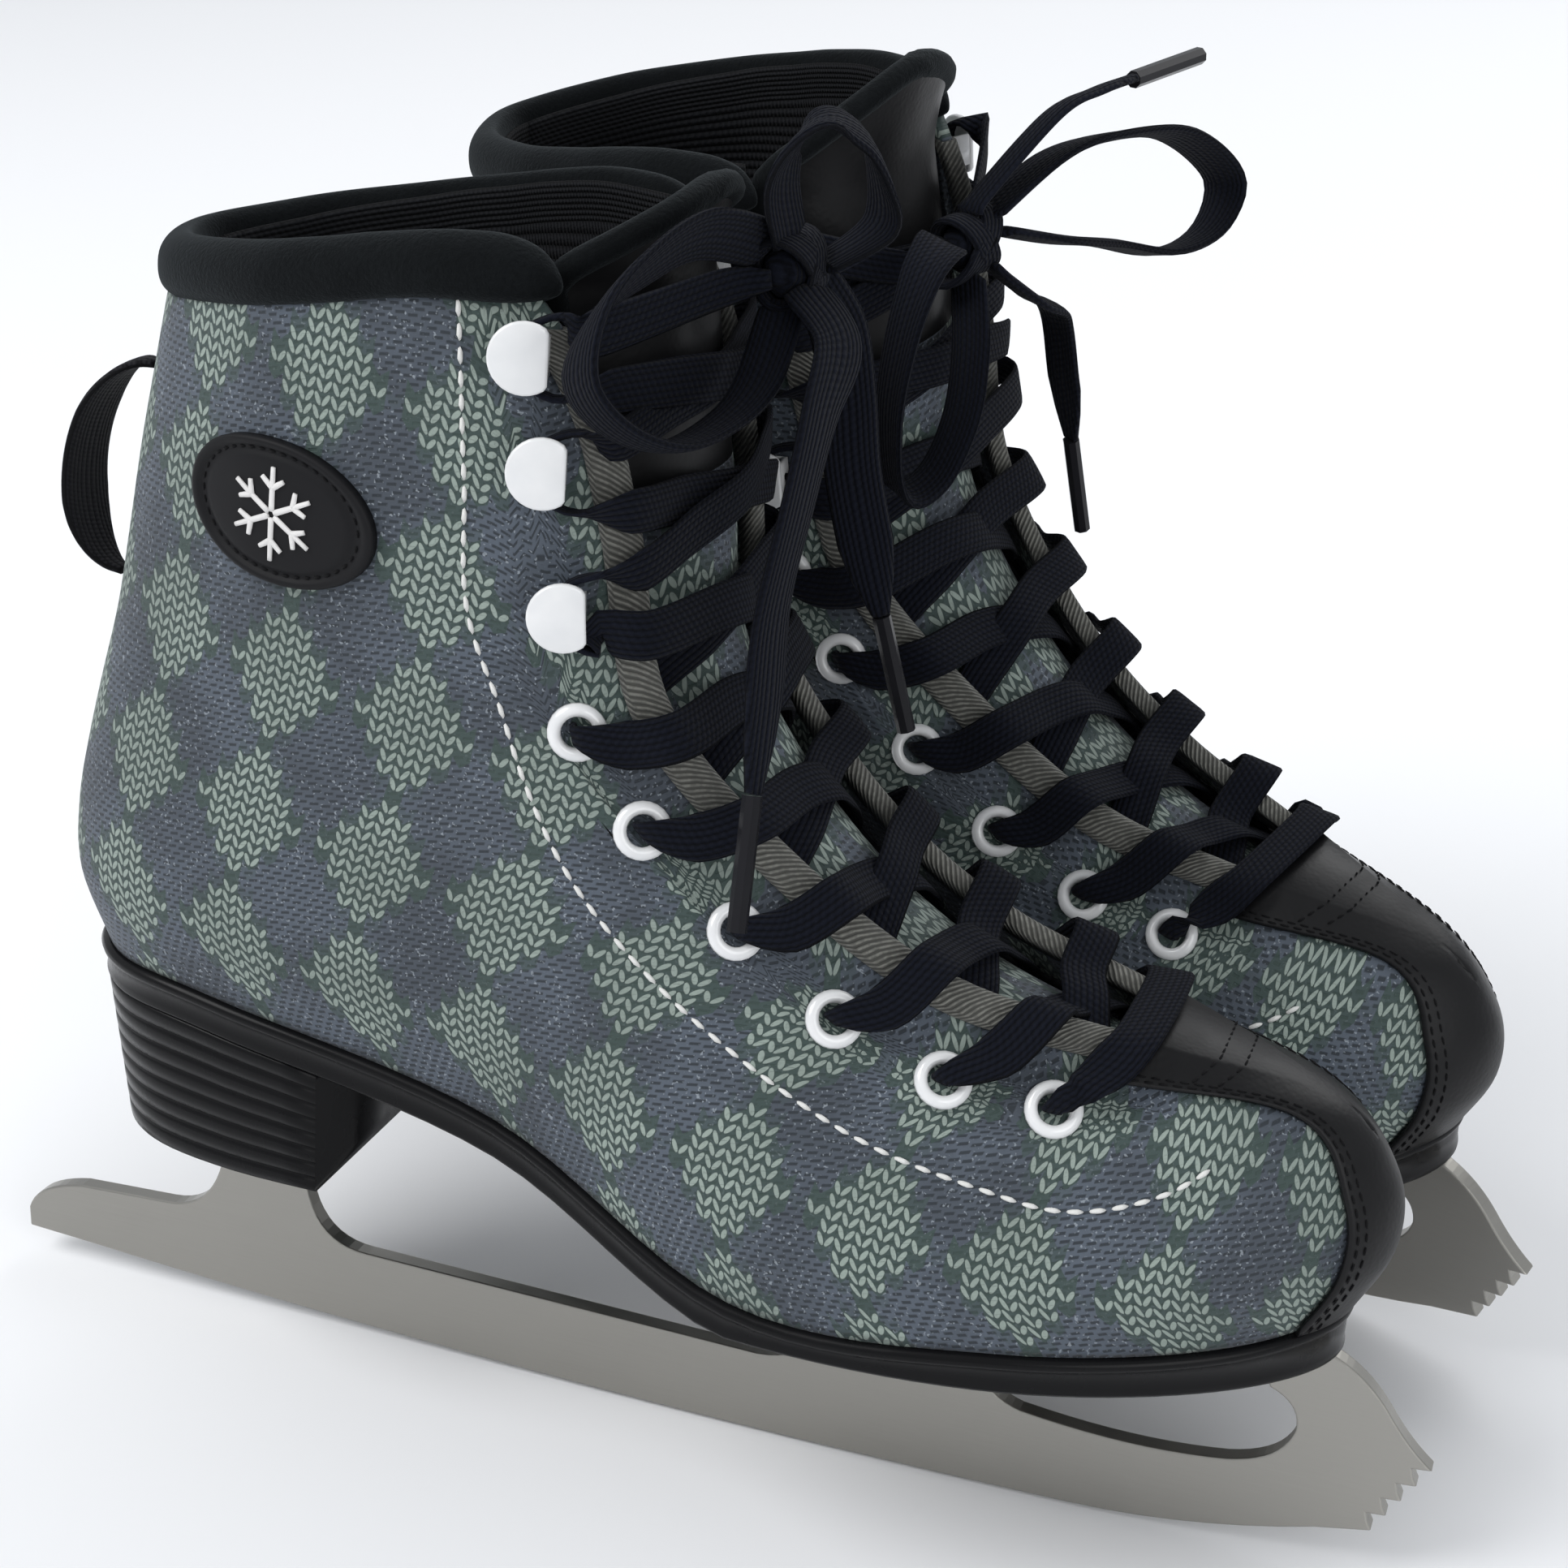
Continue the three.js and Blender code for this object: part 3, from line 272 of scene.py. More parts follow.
def dress(obj, foot, slot, *nodes, body="skate"):
    """The piece rides on its skate and stands for the named solids."""
    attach(obj, f"{foot}_{body}")
    if nodes:
        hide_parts(*(f"{foot}_{node}" for node in nodes))
    return obj


def of_side(kind, side):
    """The name of a piece that a foot has one of on each side."""
    return f"{kind}_outer" if side < 0 else f"{kind}_inner"


def moved_grid(columns, rows, place, uv=None, wrapped=False, out=None):
    """A grid whose points are moved to place(s, t), s and t running from 0 to 1.

    A wrapped one closes round t and its ends are filled. Another is turned so that its middle faces `out`.
    """
    bm = bmesh.new()
    bmesh.ops.create_grid(bm, x_segments=columns, y_segments=rows, size=1)
    layer = bm.loops.layers.uv.new("Surface")
    share = {v: ((v.co.x + 1) / 2, (v.co.y + 1) / 2) for v in bm.verts}
    for face in bm.faces:
        for loop in face.loops:
            loop[layer].uv = uv(*share[loop.vert]) if uv else share[loop.vert]
    for v, (s, t) in share.items():
        v.co = place(s, t)
    bmesh.ops.remove_doubles(bm, verts=bm.verts, dist=1e-4)
    if wrapped:
        bmesh.ops.holes_fill(bm, edges=[e for e in bm.edges if e.is_boundary], sides=0)
        bmesh.ops.recalc_face_normals(bm, faces=bm.faces)
    elif out is not None:
        bm.normal_update()
        middle = min(bm.faces, key=lambda f: (f.calc_center_median() - place(0.5, 0.5)).length)
        if middle.normal.dot(out) < 0:
            bmesh.ops.reverse_faces(bm, faces=bm.faces)
    return bm


def give_wall(obj, thickness, offset=-1.0):
    """Thickens a sheet by millimetres: inwards, or outwards with an offset of 1."""
    wall = obj.modifiers.new("Wall", "SOLIDIFY")
    wall.thickness = thickness * MM
    wall.offset = offset


def distances(points):
    """How far along the path each point lies."""
    reach = [0.0]
    for a, b in zip(points, points[1:]):
        reach.append(reach[-1] + (b - a).length)
    return reach


def spline(points, samples):
    """A smooth path through the points: even stations, each one's share of the list, and the length."""
    pts = [Vector(p) for p in points]
    ends = [pts[0] * 2 - pts[1], *pts, pts[-1] * 2 - pts[-2]]
    fine, marks, steps = [], [], 12
    for i in range(len(pts) - 1):
        for k in range(steps):
            fine.append(curve_through(*ends[i:i + 4], k / steps))
            marks.append((i + k / steps) / (len(pts) - 1))
    fine.append(pts[-1])
    marks.append(1.0)
    reach = distances(fine)
    out, shares, j = [], [], 0
    for i in range(samples + 1):
        want = reach[-1] * i / samples
        while j < len(reach) - 2 and reach[j + 1] < want:
            j += 1
        t = (want - reach[j]) / max(reach[j + 1] - reach[j], 1e-9)
        out.append(fine[j].lerp(fine[j + 1], min(t, 1.0)))
        shares.append(lerp(marks[j], marks[j + 1], min(t, 1.0)))
    return out, shares, reach[-1]


def at_share(values, share):
    """A value part of the way through a list of numbers or vectors."""
    place = share * (len(values) - 1)
    i = min(int(place), len(values) - 2)
    return lerp(values[i], values[i + 1], place - i)


def ribbon(points, lies, widths, thickness, samples, around=16, soft=0.55, crown=0.0):
    """A flat woven band along a path, closed round and at its ends, its UV in millimetres along and across.

    `lies` are directions across the band, and `widths` its widths, both spread evenly over the points.
    """
    path, shares, length = spline(points, samples)
    directions = [Vector(d) for d in lies]
    frames, last = [], None
    for i, (p, share) in enumerate(zip(path, shares)):
        along = (path[min(i + 1, samples)] - path[max(i - 1, 0)]).normalized()
        wide = at_share(directions, share)
        wide = (wide - along * wide.dot(along)).normalized()
        if last is not None:
            wide = -wide if wide.dot(last) < 0 else wide
            wide = (last * 0.35 + wide * 0.65 - along * (last * 0.35).dot(along)).normalized()
        last = wide
        frames.append((p, wide, along.cross(wide).normalized(), at_share(widths, share)))

    def place(s, t):
        p, wide, thick, width = frames[round(s * samples)]
        a = 2 * math.pi * t
        c, n = math.cos(a), math.sin(a)
        x = math.copysign(abs(c) ** 0.8, c) * width / 2
        y = math.copysign(abs(n) ** soft, n) * thickness / 2
        return p + wide * x + thick * (y + crown * (1 - (2 * x / width) ** 2))

    def uv(s, t):
        width = frames[round(s * samples)][3]
        return s * length, math.cos(2 * math.pi * t) * width / 2 + (20 if t > 0.5 else 0)

    return moved_grid(samples, around, place, uv, wrapped=True), path, length


def joined(parts):
    """Several meshes as one."""
    whole = bmesh.new()
    whole.loops.layers.uv.new("Surface")
    for bm in parts:
        mesh = bpy.data.meshes.new("part")
        bm.to_mesh(mesh)
        bm.free()
        whole.from_mesh(mesh)
        bpy.data.meshes.remove(mesh)
    return whole


def basis(at, out, towards):
    """Stands a shape's Z along `out` and its X towards `towards`."""
    z = out.normalized()
    y = z.cross(towards).normalized()
    return Matrix.Translation(at) @ Matrix((y.cross(z), y, z)).transposed().to_4x4()


def spun(profile, steps=32):
    """A solid of revolution about Z from (radius, height) points."""
    bm = bmesh.new()
    verts = [bm.verts.new((r, 0, z)) for r, z in profile]
    edges = [bm.edges.new(pair) for pair in zip(verts, verts[1:])]
    bmesh.ops.spin(bm, geom=verts + edges, cent=(0, 0, 0), axis=(0, 0, 1), angle=2 * math.pi,
                   steps=steps, use_merge=True)
    bmesh.ops.remove_doubles(bm, verts=bm.verts, dist=1e-4)
    bmesh.ops.recalc_face_normals(bm, faces=bm.faces)
    return bm


def stitch(at, along, out, length, radius):
    """One thread showing on top of the cloth."""
    bm = bmesh.new()
    bmesh.ops.create_icosphere(bm, subdivisions=1, radius=1)
    bmesh.ops.scale(bm, vec=(length / 2, radius, radius * 0.8), verts=bm.verts)
    bmesh.ops.transform(bm, matrix=basis(at, out, along), verts=bm.verts)
    return bm


def stitch_line(path, outs, pitch, length, radius):
    """Evenly spaced stitches along a path on the surface."""
    reach = distances(path)
    parts, j = [], 0
    for i in range(int(reach[-1] / pitch)):
        want = (i + 0.5) * pitch
        while reach[j + 1] < want:
            j += 1
        t = (want - reach[j]) / (reach[j + 1] - reach[j])
        parts.append(stitch(path[j].lerp(path[j + 1], t), path[j + 1] - path[j], outs[j], length, radius))
    return joined(parts)


def loft(rings, uv=None):
    """A closed body through rings of points, its ends filled."""
    columns, around = len(rings) - 1, len(rings[0])

    def place(s, t):
        return rings[round(s * columns)][round(t * around) % around]

    return moved_grid(columns, around, place, uv, wrapped=True)


def loft_in_mm(rings, corner, across):
    """A loft whose UV runs in millimetres along one corner of its rings, and across by a rule of t."""
    reach = distances([ring[corner] for ring in rings])
    return loft(rings, lambda s, t: (at_share(reach, s), across(t)))


# ---- finishes ----
class Finish:
    """A material being put together from nodes."""

    def __init__(self, name, color=(0.5, 0.5, 0.5), roughness=0.5, **sockets):
        self.material = bpy.data.materials.new(name)
        self.material.use_nodes = True
        self.tree = self.material.node_tree
        self.shader = self.tree.nodes["Principled BSDF"]
        self.shader.inputs["Base Color"].default_value = (*color, 1)
        self.shader.inputs["Roughness"].default_value = roughness
        for socket, value in sockets.items():
            self.shader.inputs[socket.replace("_", " ")].default_value = value

    def node(self, kind, inputs=(), output=0, **settings):
        node = self.tree.nodes.new(kind)
        for name, value in settings.items():
            setattr(node, name, value)
        for socket, value in dict(inputs).items():
            if isinstance(value, bpy.types.NodeSocket):
                self.tree.links.new(value, node.inputs[socket])
            else:
                node.inputs[socket].default_value = value
        return node.outputs[output]

    def math(self, operation, *values):
        return self.node("ShaderNodeMath", enumerate(values), operation=operation)

    def surface_mm(self):
        """Along and across the piece, in millimetres."""
        uv = self.node("ShaderNodeUVMap", uv_map="Surface")
        parts = self.node("ShaderNodeSeparateXYZ", {0: uv}).node
        return parts.outputs[0], parts.outputs[1]

    def object_coordinates(self, scale=(1, 1, 1)):
        where = self.node("ShaderNodeTexCoord", output=3)
        return self.node("ShaderNodeMapping", {"Vector": where, "Scale": scale})

    def noise(self, vector, scale, detail=2.0, roughness=0.5):
        return self.node("ShaderNodeTexNoise", {"Vector": vector, "Scale": scale, "Detail": detail,
                                                "Roughness": roughness})

    def blend(self, share, a, b):
        ends = {6: (*a, 1) if isinstance(a, tuple) else a, 7: (*b, 1) if isinstance(b, tuple) else b}
        return self.node("ShaderNodeMix", {0: share, **ends}, output=2, data_type="RGBA")

    def remap(self, value, low, high, to_low=0.0, to_high=1.0):
        return self.node("ShaderNodeMapRange", {0: value, 1: low, 2: high, 3: to_low, 4: to_high},
                         interpolation_type="SMOOTHSTEP")

    def color(self, value):
        self.tree.links.new(value, self.shader.inputs["Base Color"])

    def rough(self, value):
        self.tree.links.new(value, self.shader.inputs["Roughness"])

    def bump(self, height, distance_mm, strength=1.0):
        normal = self.node("ShaderNodeBump", {"Height": height, "Distance": distance_mm * MM,
                                              "Strength": strength})
        self.tree.links.new(normal, self.shader.inputs["Normal"])


# The cloth's V stitches and the stars they make.
STAR_COLUMNS, STAR_ROWS = 8, 12  # stitches from one star to the next
FIRST_COLUMN, FIRST_ROW = 3, 7   # stitches by which the stars are moved along
STAR_HALVES = (3.2, 5.4)         # columns and rows from a star's middle to its tips
ROW_SHARE = 0.726                # spacing of the rows of V stitches, as a share of a V's width
V_RISE = 0.74                    # how far a V's arms rise, in rows
LEAF_HALF = 0.36                 # half the thickness of an arm, in rows
COLUMN_LEAN, ROW_FALL = 0.07, 0.2
DASH_ROW, DASH_PITCH = 1.25, 2.2  # the ground's small dashes, in millimetres


def patterned_cloth(look):
    """Blue-grey cloth with stars of pale V stitches on dark green."""
    f = Finish("Patterned cloth", roughness=0.7, Sheen_Weight=0.08, Specular_IOR_Level=0.35)
    along, up = f.surface_mm()
    pair = look.stitch_width / MM
    round_foot = f.math("ABSOLUTE", along)
    leaned = f.math("SUBTRACT", round_foot, f.math("MULTIPLY", up, COLUMN_LEAN))
    across = f.math("DIVIDE", leaned, pair)
    column = f.math("FLOOR", across)
    from_middle = f.math("ABSOLUTE", f.math("SUBTRACT", f.math("MULTIPLY", f.math("FRACT", across), 2), 1))
    fallen = f.math("ADD", up, f.math("MULTIPLY", round_foot, ROW_FALL))
    rows = f.math("SUBTRACT", f.math("DIVIDE", fallen, pair * ROW_SHARE),
                  f.math("MULTIPLY", from_middle, V_RISE))
    row = f.math("FLOOR", rows)
    beside = f.math("ABSOLUTE", f.math("SUBTRACT", f.math("FRACT", rows), 0.5))
    span = f.math("DIVIDE", f.math("SUBTRACT", from_middle, 0.5), 0.45)
    round_end = f.math("MAXIMUM", f.math("SUBTRACT", 1, f.math("MULTIPLY", span, span)), 0)
    half = f.math("MULTIPLY", f.math("SQRT", round_end), LEAF_HALF)
    leaf = f.remap(f.math("SUBTRACT", half, beside), -0.03, 0.07)

    def steps_from_centre(count, repeat, shift):
        turned = f.math("FLOORED_MODULO", f.math("ADD", count, shift), repeat)
        return f.math("ABSOLUTE", f.math("SUBTRACT", turned, repeat // 2))

    beside_star = f.math("DIVIDE", steps_from_centre(column, STAR_COLUMNS, FIRST_COLUMN), STAR_HALVES[0])
    above_star = f.math("DIVIDE", steps_from_centre(row, STAR_ROWS, FIRST_ROW), STAR_HALVES[1])
    star_reach = f.math("ADD", beside_star, above_star)
    star = f.math("LESS_THAN", star_reach, 1.08)
    leaves = f.math("MULTIPLY", leaf, star)

    fine = f.math("DIVIDE", up, DASH_ROW)
    fine_row = f.math("FLOOR", fine)
    stagger = f.math("MULTIPLY", f.math("FLOORED_MODULO", fine_row, 2), 0.5)
    dash_along = f.math("FRACT", f.math("ADD", f.math("DIVIDE", along, DASH_PITCH), stagger))
    tilted = f.math("ADD", fine, f.math("MULTIPLY", dash_along, 0.35))
    dash_up = f.math("ABSOLUTE", f.math("SUBTRACT", f.math("FRACT", tilted), 0.5))
    dash = f.math("MULTIPLY", f.remap(dash_up, 0.3, 0.12),
                  f.remap(f.math("ABSOLUTE", f.math("SUBTRACT", dash_along, 0.5)), 0.42, 0.3))
    where = f.object_coordinates()
    cloud = f.noise(where, 38, 3, 0.6)
    # Pale specks over the ground are painted glints of light, painted highlights; the same mask also raises
    # the bump a little.
    painted_glint = f.remap(f.noise(where, 1500, 1), 0.63, 0.72)
    ground = f.blend(f.remap(cloud, 0.38, 0.62), tuple(look.cloth_dark), tuple(look.cloth))
    ground = f.blend(f.math("MULTIPLY", dash, 0.9), ground, (0.014, 0.019, 0.025))
    ground = f.blend(f.math("MULTIPLY", painted_glint, 0.5), ground, (0.33, 0.37, 0.41))
    near_star = f.remap(star_reach, 1.32, 1.1)
    ground = f.blend(f.math("MULTIPLY", near_star, 0.85), ground, (0.03, 0.052, 0.044))
    shade = f.blend(f.remap(cloud, 0.35, 0.65), tuple(c * 0.8 for c in look.star), tuple(look.star))
    f.color(f.blend(leaves, ground, shade))
    height = f.math("ADD", leaves, f.math("MULTIPLY", dash, -0.5))
    f.bump(f.math("ADD", height, f.math("MULTIPLY", painted_glint, 0.2)), 0.22, 0.8)
    return f.material


def twill(look):
    """Grey tape with slanting ribs, the grooves between them painted dark as painted shade."""
    f = Finish("Twill tape", roughness=0.8, Sheen_Weight=0.1)
    along, across = f.surface_mm()
    ribs = f.math("SINE", f.math("MULTIPLY", f.math("ADD", along, f.math("MULTIPLY", across, 0.9)), 5.4))
    patches = f.noise(f.object_coordinates(), 900, 2)
    pale = f.blend(f.remap(patches, 0.35, 0.65), tuple(c * 0.65 for c in look.twill), tuple(look.twill))
    # The rib grooves are painted dark as painted shade; the pale patches are random tone of the tape.
    f.color(f.blend(f.remap(ribs, -0.7, 0.5), (0.055, 0.055, 0.048), pale))
    f.bump(ribs, 0.25, 0.8)
    return f.material


def woven(name, color, rib, cross, roughness=0.85, depth=0.3, contrast=0.55):
    """Cloth in ribs along the piece, each rib a row of small loops, the crests painted lighter and the
    grooves darker as painted light and shade.
    """
    f = Finish(name, roughness=roughness, Sheen_Weight=0.02, Sheen_Roughness=0.6, Specular_IOR_Level=0.06)
    along, across = f.surface_mm()
    lane = f.math("DIVIDE", across, rib)
    lane_shape = f.math("ABSOLUTE", f.math("SINE", f.math("MULTIPLY", lane, math.pi)))
    shift = f.math("MULTIPLY", f.math("FLOORED_MODULO", f.math("FLOOR", lane), 2), cross / 2)
    slant = f.math("MULTIPLY", f.math("FRACT", lane), cross * 0.25)
    loops = f.math("SINE", f.math("MULTIPLY", f.math("ADD", f.math("ADD", along, shift), slant),
                                  2 * math.pi / cross))
    height = f.math("ADD", lane_shape, f.math("MULTIPLY", loops, 0.22))
    fuzz = f.noise(f.object_coordinates(), 2200, 1)
    # Painted light and shade: the colour follows the rib height, crests lighter and grooves darker, mixed
    # with random fuzz of tone; contrast sets how dark the painted shade gets.
    lit = f.remap(f.math("ADD", height, f.math("MULTIPLY", fuzz, 0.5)), 0.1, 1.4)
    f.color(f.blend(lit, tuple(c * contrast for c in color), tuple(c * 1.5 for c in color)))
    f.bump(f.math("ADD", height, f.math("MULTIPLY", fuzz, 0.4)), depth, 0.9)
    return f.material


def leather(look):
    """Smooth black leather with a fine grain."""
    f = Finish("Smooth leather", roughness=0.42, Specular_IOR_Level=0.18)
    where = f.object_coordinates()
    grain = f.node("ShaderNodeTexVoronoi", {"Vector": where, "Scale": 1100.0}, feature="SMOOTH_F1")
    soft = f.noise(where, 60, 3)
    f.color(f.blend(soft, tuple(c * 0.75 for c in look.leather), tuple(c * 1.35 for c in look.leather)))
    f.rough(f.remap(soft, 0.3, 0.7, 0.36, 0.5))
    f.bump(f.math("ADD", grain, f.math("MULTIPLY", soft, 0.8)), 0.08, 0.5)
    return f.material


def fleece(look):
    """Short black pile."""
    f = Finish("Fleece", roughness=1.0, Sheen_Weight=0.16, Sheen_Roughness=0.5,
               Sheen_Tint=(0.4, 0.45, 0.48, 1), Specular_IOR_Level=0.05)
    where = f.object_coordinates()
    pile = f.noise(where, 1300, 3, 0.7)
    nap = f.noise(where, 90, 3)
    f.color(f.blend(f.math("MULTIPLY", pile, nap), tuple(c * 0.5 for c in look.fleece),
                    tuple(c * 2.4 for c in look.fleece)))
    f.bump(f.math("ADD", pile, nap), 0.4, 0.7)
    return f.material


def moulded(name, color, roughness):
    """Rubber or plastic, a little cloudy."""
    f = Finish(name, roughness=roughness, Specular_IOR_Level=0.12)
    where = f.object_coordinates()
    cloud = f.noise(where, 70, 4, 0.6)
    f.color(f.blend(cloud, tuple(c * 0.8 for c in color), tuple(c * 1.3 for c in color)))
    f.rough(f.remap(cloud, 0.3, 0.7, roughness - 0.05, roughness + 0.05))
    f.bump(f.noise(where, 900, 2), 0.03, 0.35)
    return f.material


def brushed_steel(look):
    """Steel ground along the blade."""
    f = Finish("Brushed steel", roughness=0.34, Metallic=1.0)
    lines = f.noise(f.object_coordinates((60, 60, 2600)), 1.0, 4, 0.7)
    cloud = f.noise(f.object_coordinates(), 22, 3)
    mixed = f.math("ADD", f.math("MULTIPLY", lines, 0.5), f.math("MULTIPLY", cloud, 0.5))
    f.color(f.blend(mixed, tuple(c * 0.86 for c in look.steel), tuple(min(1, c * 1.12) for c in look.steel)))
    f.rough(f.remap(mixed, 0.35, 0.65, look.steel_roughness - 0.05, look.steel_roughness + 0.07))
    f.bump(lines, 0.02, 0.3)
    return f.material


def enamel():
    """Glossy white paint."""
    f = Finish("White enamel", roughness=0.14, Coat_Weight=0.4, Coat_Roughness=0.06)
    cloud = f.noise(f.object_coordinates(), 240, 2)
    f.color(f.blend(cloud, (0.64, 0.65, 0.66), (0.74, 0.74, 0.74)))
    f.bump(cloud, 0.03, 0.2)
    return f.material


@functools.lru_cache(maxsize=None)
def finish(name):
    """The material of that name, made when it is first wanted."""
    look = bpy.context.scene.skates_look
    makers = {
        "cloth": lambda: patterned_cloth(look),
        "twill": lambda: twill(look),
        "lace": lambda: woven("Lace cord", tuple(look.lace), 0.95, 1.5, depth=0.35),
        "webbing": lambda: woven("Webbing", (0.012, 0.012, 0.014), 1.2, 0.9, roughness=0.7, depth=0.25),
        "lining": lambda: woven("Ribbed lining", (0.009, 0.0095, 0.011), 2.2, 1.2, depth=0.5),
        "leather": lambda: leather(look),
        "fleece": lambda: fleece(look),
        "sole": lambda: moulded("Moulded sole", (0.0045, 0.0045, 0.005), 0.28),
        "badge": lambda: moulded("Moulded badge", (0.008, 0.008, 0.009), 0.55),
        "badge mark": lambda: moulded("Badge mark", (0.62, 0.61, 0.6), 0.5),
        "board": lambda: moulded("Insole board", (0.02, 0.02, 0.021), 0.9),
        "steel": lambda: brushed_steel(look),
        "enamel": enamel,
        "aglet": lambda: moulded("Aglet film", (0.012, 0.012, 0.014), 0.16),
        "white thread": lambda: woven("White thread", (0.66, 0.66, 0.64), 0.4, 0.5, depth=0.1, contrast=0.95),
        "black thread": lambda: woven("Black thread", (0.012, 0.012, 0.013), 0.4, 0.5, depth=0.1),
    }
    return makers[name]()


# ---- settings ----
class SKATES_PG_look(bpy.types.PropertyGroup):
    """The skates' colours and the scale of their cloth."""

    cloth: FloatVectorProperty(name="Cloth", description="Blue-grey ground of the cloth", subtype="COLOR",
                               size=3, min=0, max=1, default=(0.07, 0.086, 0.11))
    cloth_dark: FloatVectorProperty(name="Cloth shade", description="Darker patches of the cloth",
                                    subtype="COLOR", size=3, min=0, max=1, default=(0.045, 0.055, 0.07))
    star: FloatVectorProperty(name="Stars", description="Pale V stitches of the stars", subtype="COLOR",
                              size=3, min=0, max=1, default=(0.245, 0.295, 0.265))
    twill: FloatVectorProperty(name="Twill", description="Tape on the edges of the flaps", subtype="COLOR",
                               size=3, min=0, max=1, default=(0.2, 0.2, 0.178))
    lace: FloatVectorProperty(name="Laces", description="Flat woven laces", subtype="COLOR", size=3,
                              min=0, max=1, default=(0.0038, 0.0046, 0.0082))
    leather: FloatVectorProperty(name="Leather", description="Toe strip and top of the tongue",
                                 subtype="COLOR", size=3, min=0, max=1, default=(0.006, 0.006, 0.0066))
    fleece: FloatVectorProperty(name="Fleece", description="Padded collar", subtype="COLOR", size=3,
                                min=0, max=1, default=(0.0045, 0.0052, 0.0058))
    steel: FloatVectorProperty(name="Steel", description="Blades", subtype="COLOR", size=3, min=0, max=1,
                               default=(0.33, 0.32, 0.295))
    steel_roughness: FloatProperty(name="Steel roughness", description="How blurred the blades reflect",
                                   min=0.1, max=0.9, default=0.36)
    stitch_width: FloatProperty(name="Stitch width", description="Width of one V stitch of the stars",
                                subtype="DISTANCE", unit="LENGTH", min=0.001, max=0.01, default=0.00314)


class SKATES_PG_sizes(bpy.types.PropertyGroup):
    """Sizes of the soft pieces, which their solids leave room for."""

    lace_width: FloatProperty(name="Lace width", description="Width of a crossing lace",
                              subtype="DISTANCE", unit="LENGTH", min=0.004, max=0.012, default=0.0082)
    bow_width: FloatProperty(name="Bow width", description="Width of the lace in the bow, lying flat",
                             subtype="DISTANCE", unit="LENGTH", min=0.006, max=0.012, default=0.01)
    lace_thickness: FloatProperty(name="Lace thickness", description="Thickness of the lace",
                                  subtype="DISTANCE", unit="LENGTH", min=0.0008, max=0.003, default=0.0017)
    collar_fill: FloatProperty(name="Collar padding", description="How far the collar bulges outwards",
                               subtype="DISTANCE", unit="LENGTH", min=0, max=0.004, default=0.0008)
    stitch_pitch: FloatProperty(name="Stitch pitch", description="Spacing of the white saddle stitches",
                                subtype="DISTANCE", unit="LENGTH", min=0.002, max=0.008, default=0.0037)


# ---- pieces ----
def arc_uv(side):
    """Millimetres along the rows from the back seam, and up the columns, over one side of the upper."""
    across, up = {}, {}

    def measure(u, v):
        key = (round(u, 3), round(v, 3))
        if key not in across:
            length, steps = 0.0, max(1, round(u * 5))
            row = [surface(side, u * i / steps, v) for i in range(steps + 1)]
            for a, b in zip(row, row[1:]):
                length += math.hypot(b.x - a.x, b.y - a.y)
            across[key] = length
            low = surface(side, u, 0)
            height, steps = low.z, max(1, round(v * 5))
            rise = [surface(side, u, v * i / steps) for i in range(steps + 1)]
            for a, b in zip(rise, rise[1:]):
                height += math.hypot(b.y - a.y, b.z - a.z) * (1 if b.z > a.z else -1)
            up[key] = height
        return across[key] * side, up[key]

    return measure


ROUNDED_FROM = 8.35


def front_edge(v):
    """Where the flap's front edge lies along the row: it is rounded off below the cuff."""
    return FRONT - 0.55 * max(0.0, (v - ROUNDED_FROM) / (CUFF - ROUNDED_FROM)) ** 2


def make_upper(foot, side):
    """One side of the cloth upper, from the back seam to the toe and the edge of the flap."""
    columns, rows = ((56, 54))
    measure = arc_uv(side)

    def at(s, t):
        return round(s * front_edge(t * CUFF), 4), round(t * CUFF, 4)

    bm = moved_grid(columns, rows, lambda s, t: surface(side, *at(s, t)).copy(),
                    lambda s, t: measure(*at(s, t)), out=outward(side, 3.5, 4.5))
    name = of_side("upper", side)
    obj = dress(finish_mesh(name, foot, bm, finish("cloth")), foot, "patterned_fabric", name)
    give_wall(obj, UPPER_WALL)


def make_lining(foot):
    """Black ribbed knit inside the shaft, a little below the collar."""
    parts = []
    for side in SIDES:
        def place(s, t, side=side):
            u, v = round(s * 6.4, 4), round(lerp(4.2, CUFF - 0.02, min(t / 0.85, 1.0)), 4)
            above = max(0.0, (t - 0.85) / 0.15)
            p = skin(side, u, v, -UPPER_WALL - 0.45 - 3.2 * math.sqrt(max(0.0, (t - 0.74) / 0.26)))
            return p + Vector((0, 0, 7.6 * above))

        parts.append(moved_grid(34, 28, place, lambda s, t: (s * 120, t * 110), out=-outward(side, 3.2, 6.5)))
    obj = finish_mesh("lining", foot, joined(parts), finish("lining"))
    give_wall(dress(obj, foot, "lining_knit", "lining"), LINING_WALL, 1.0)


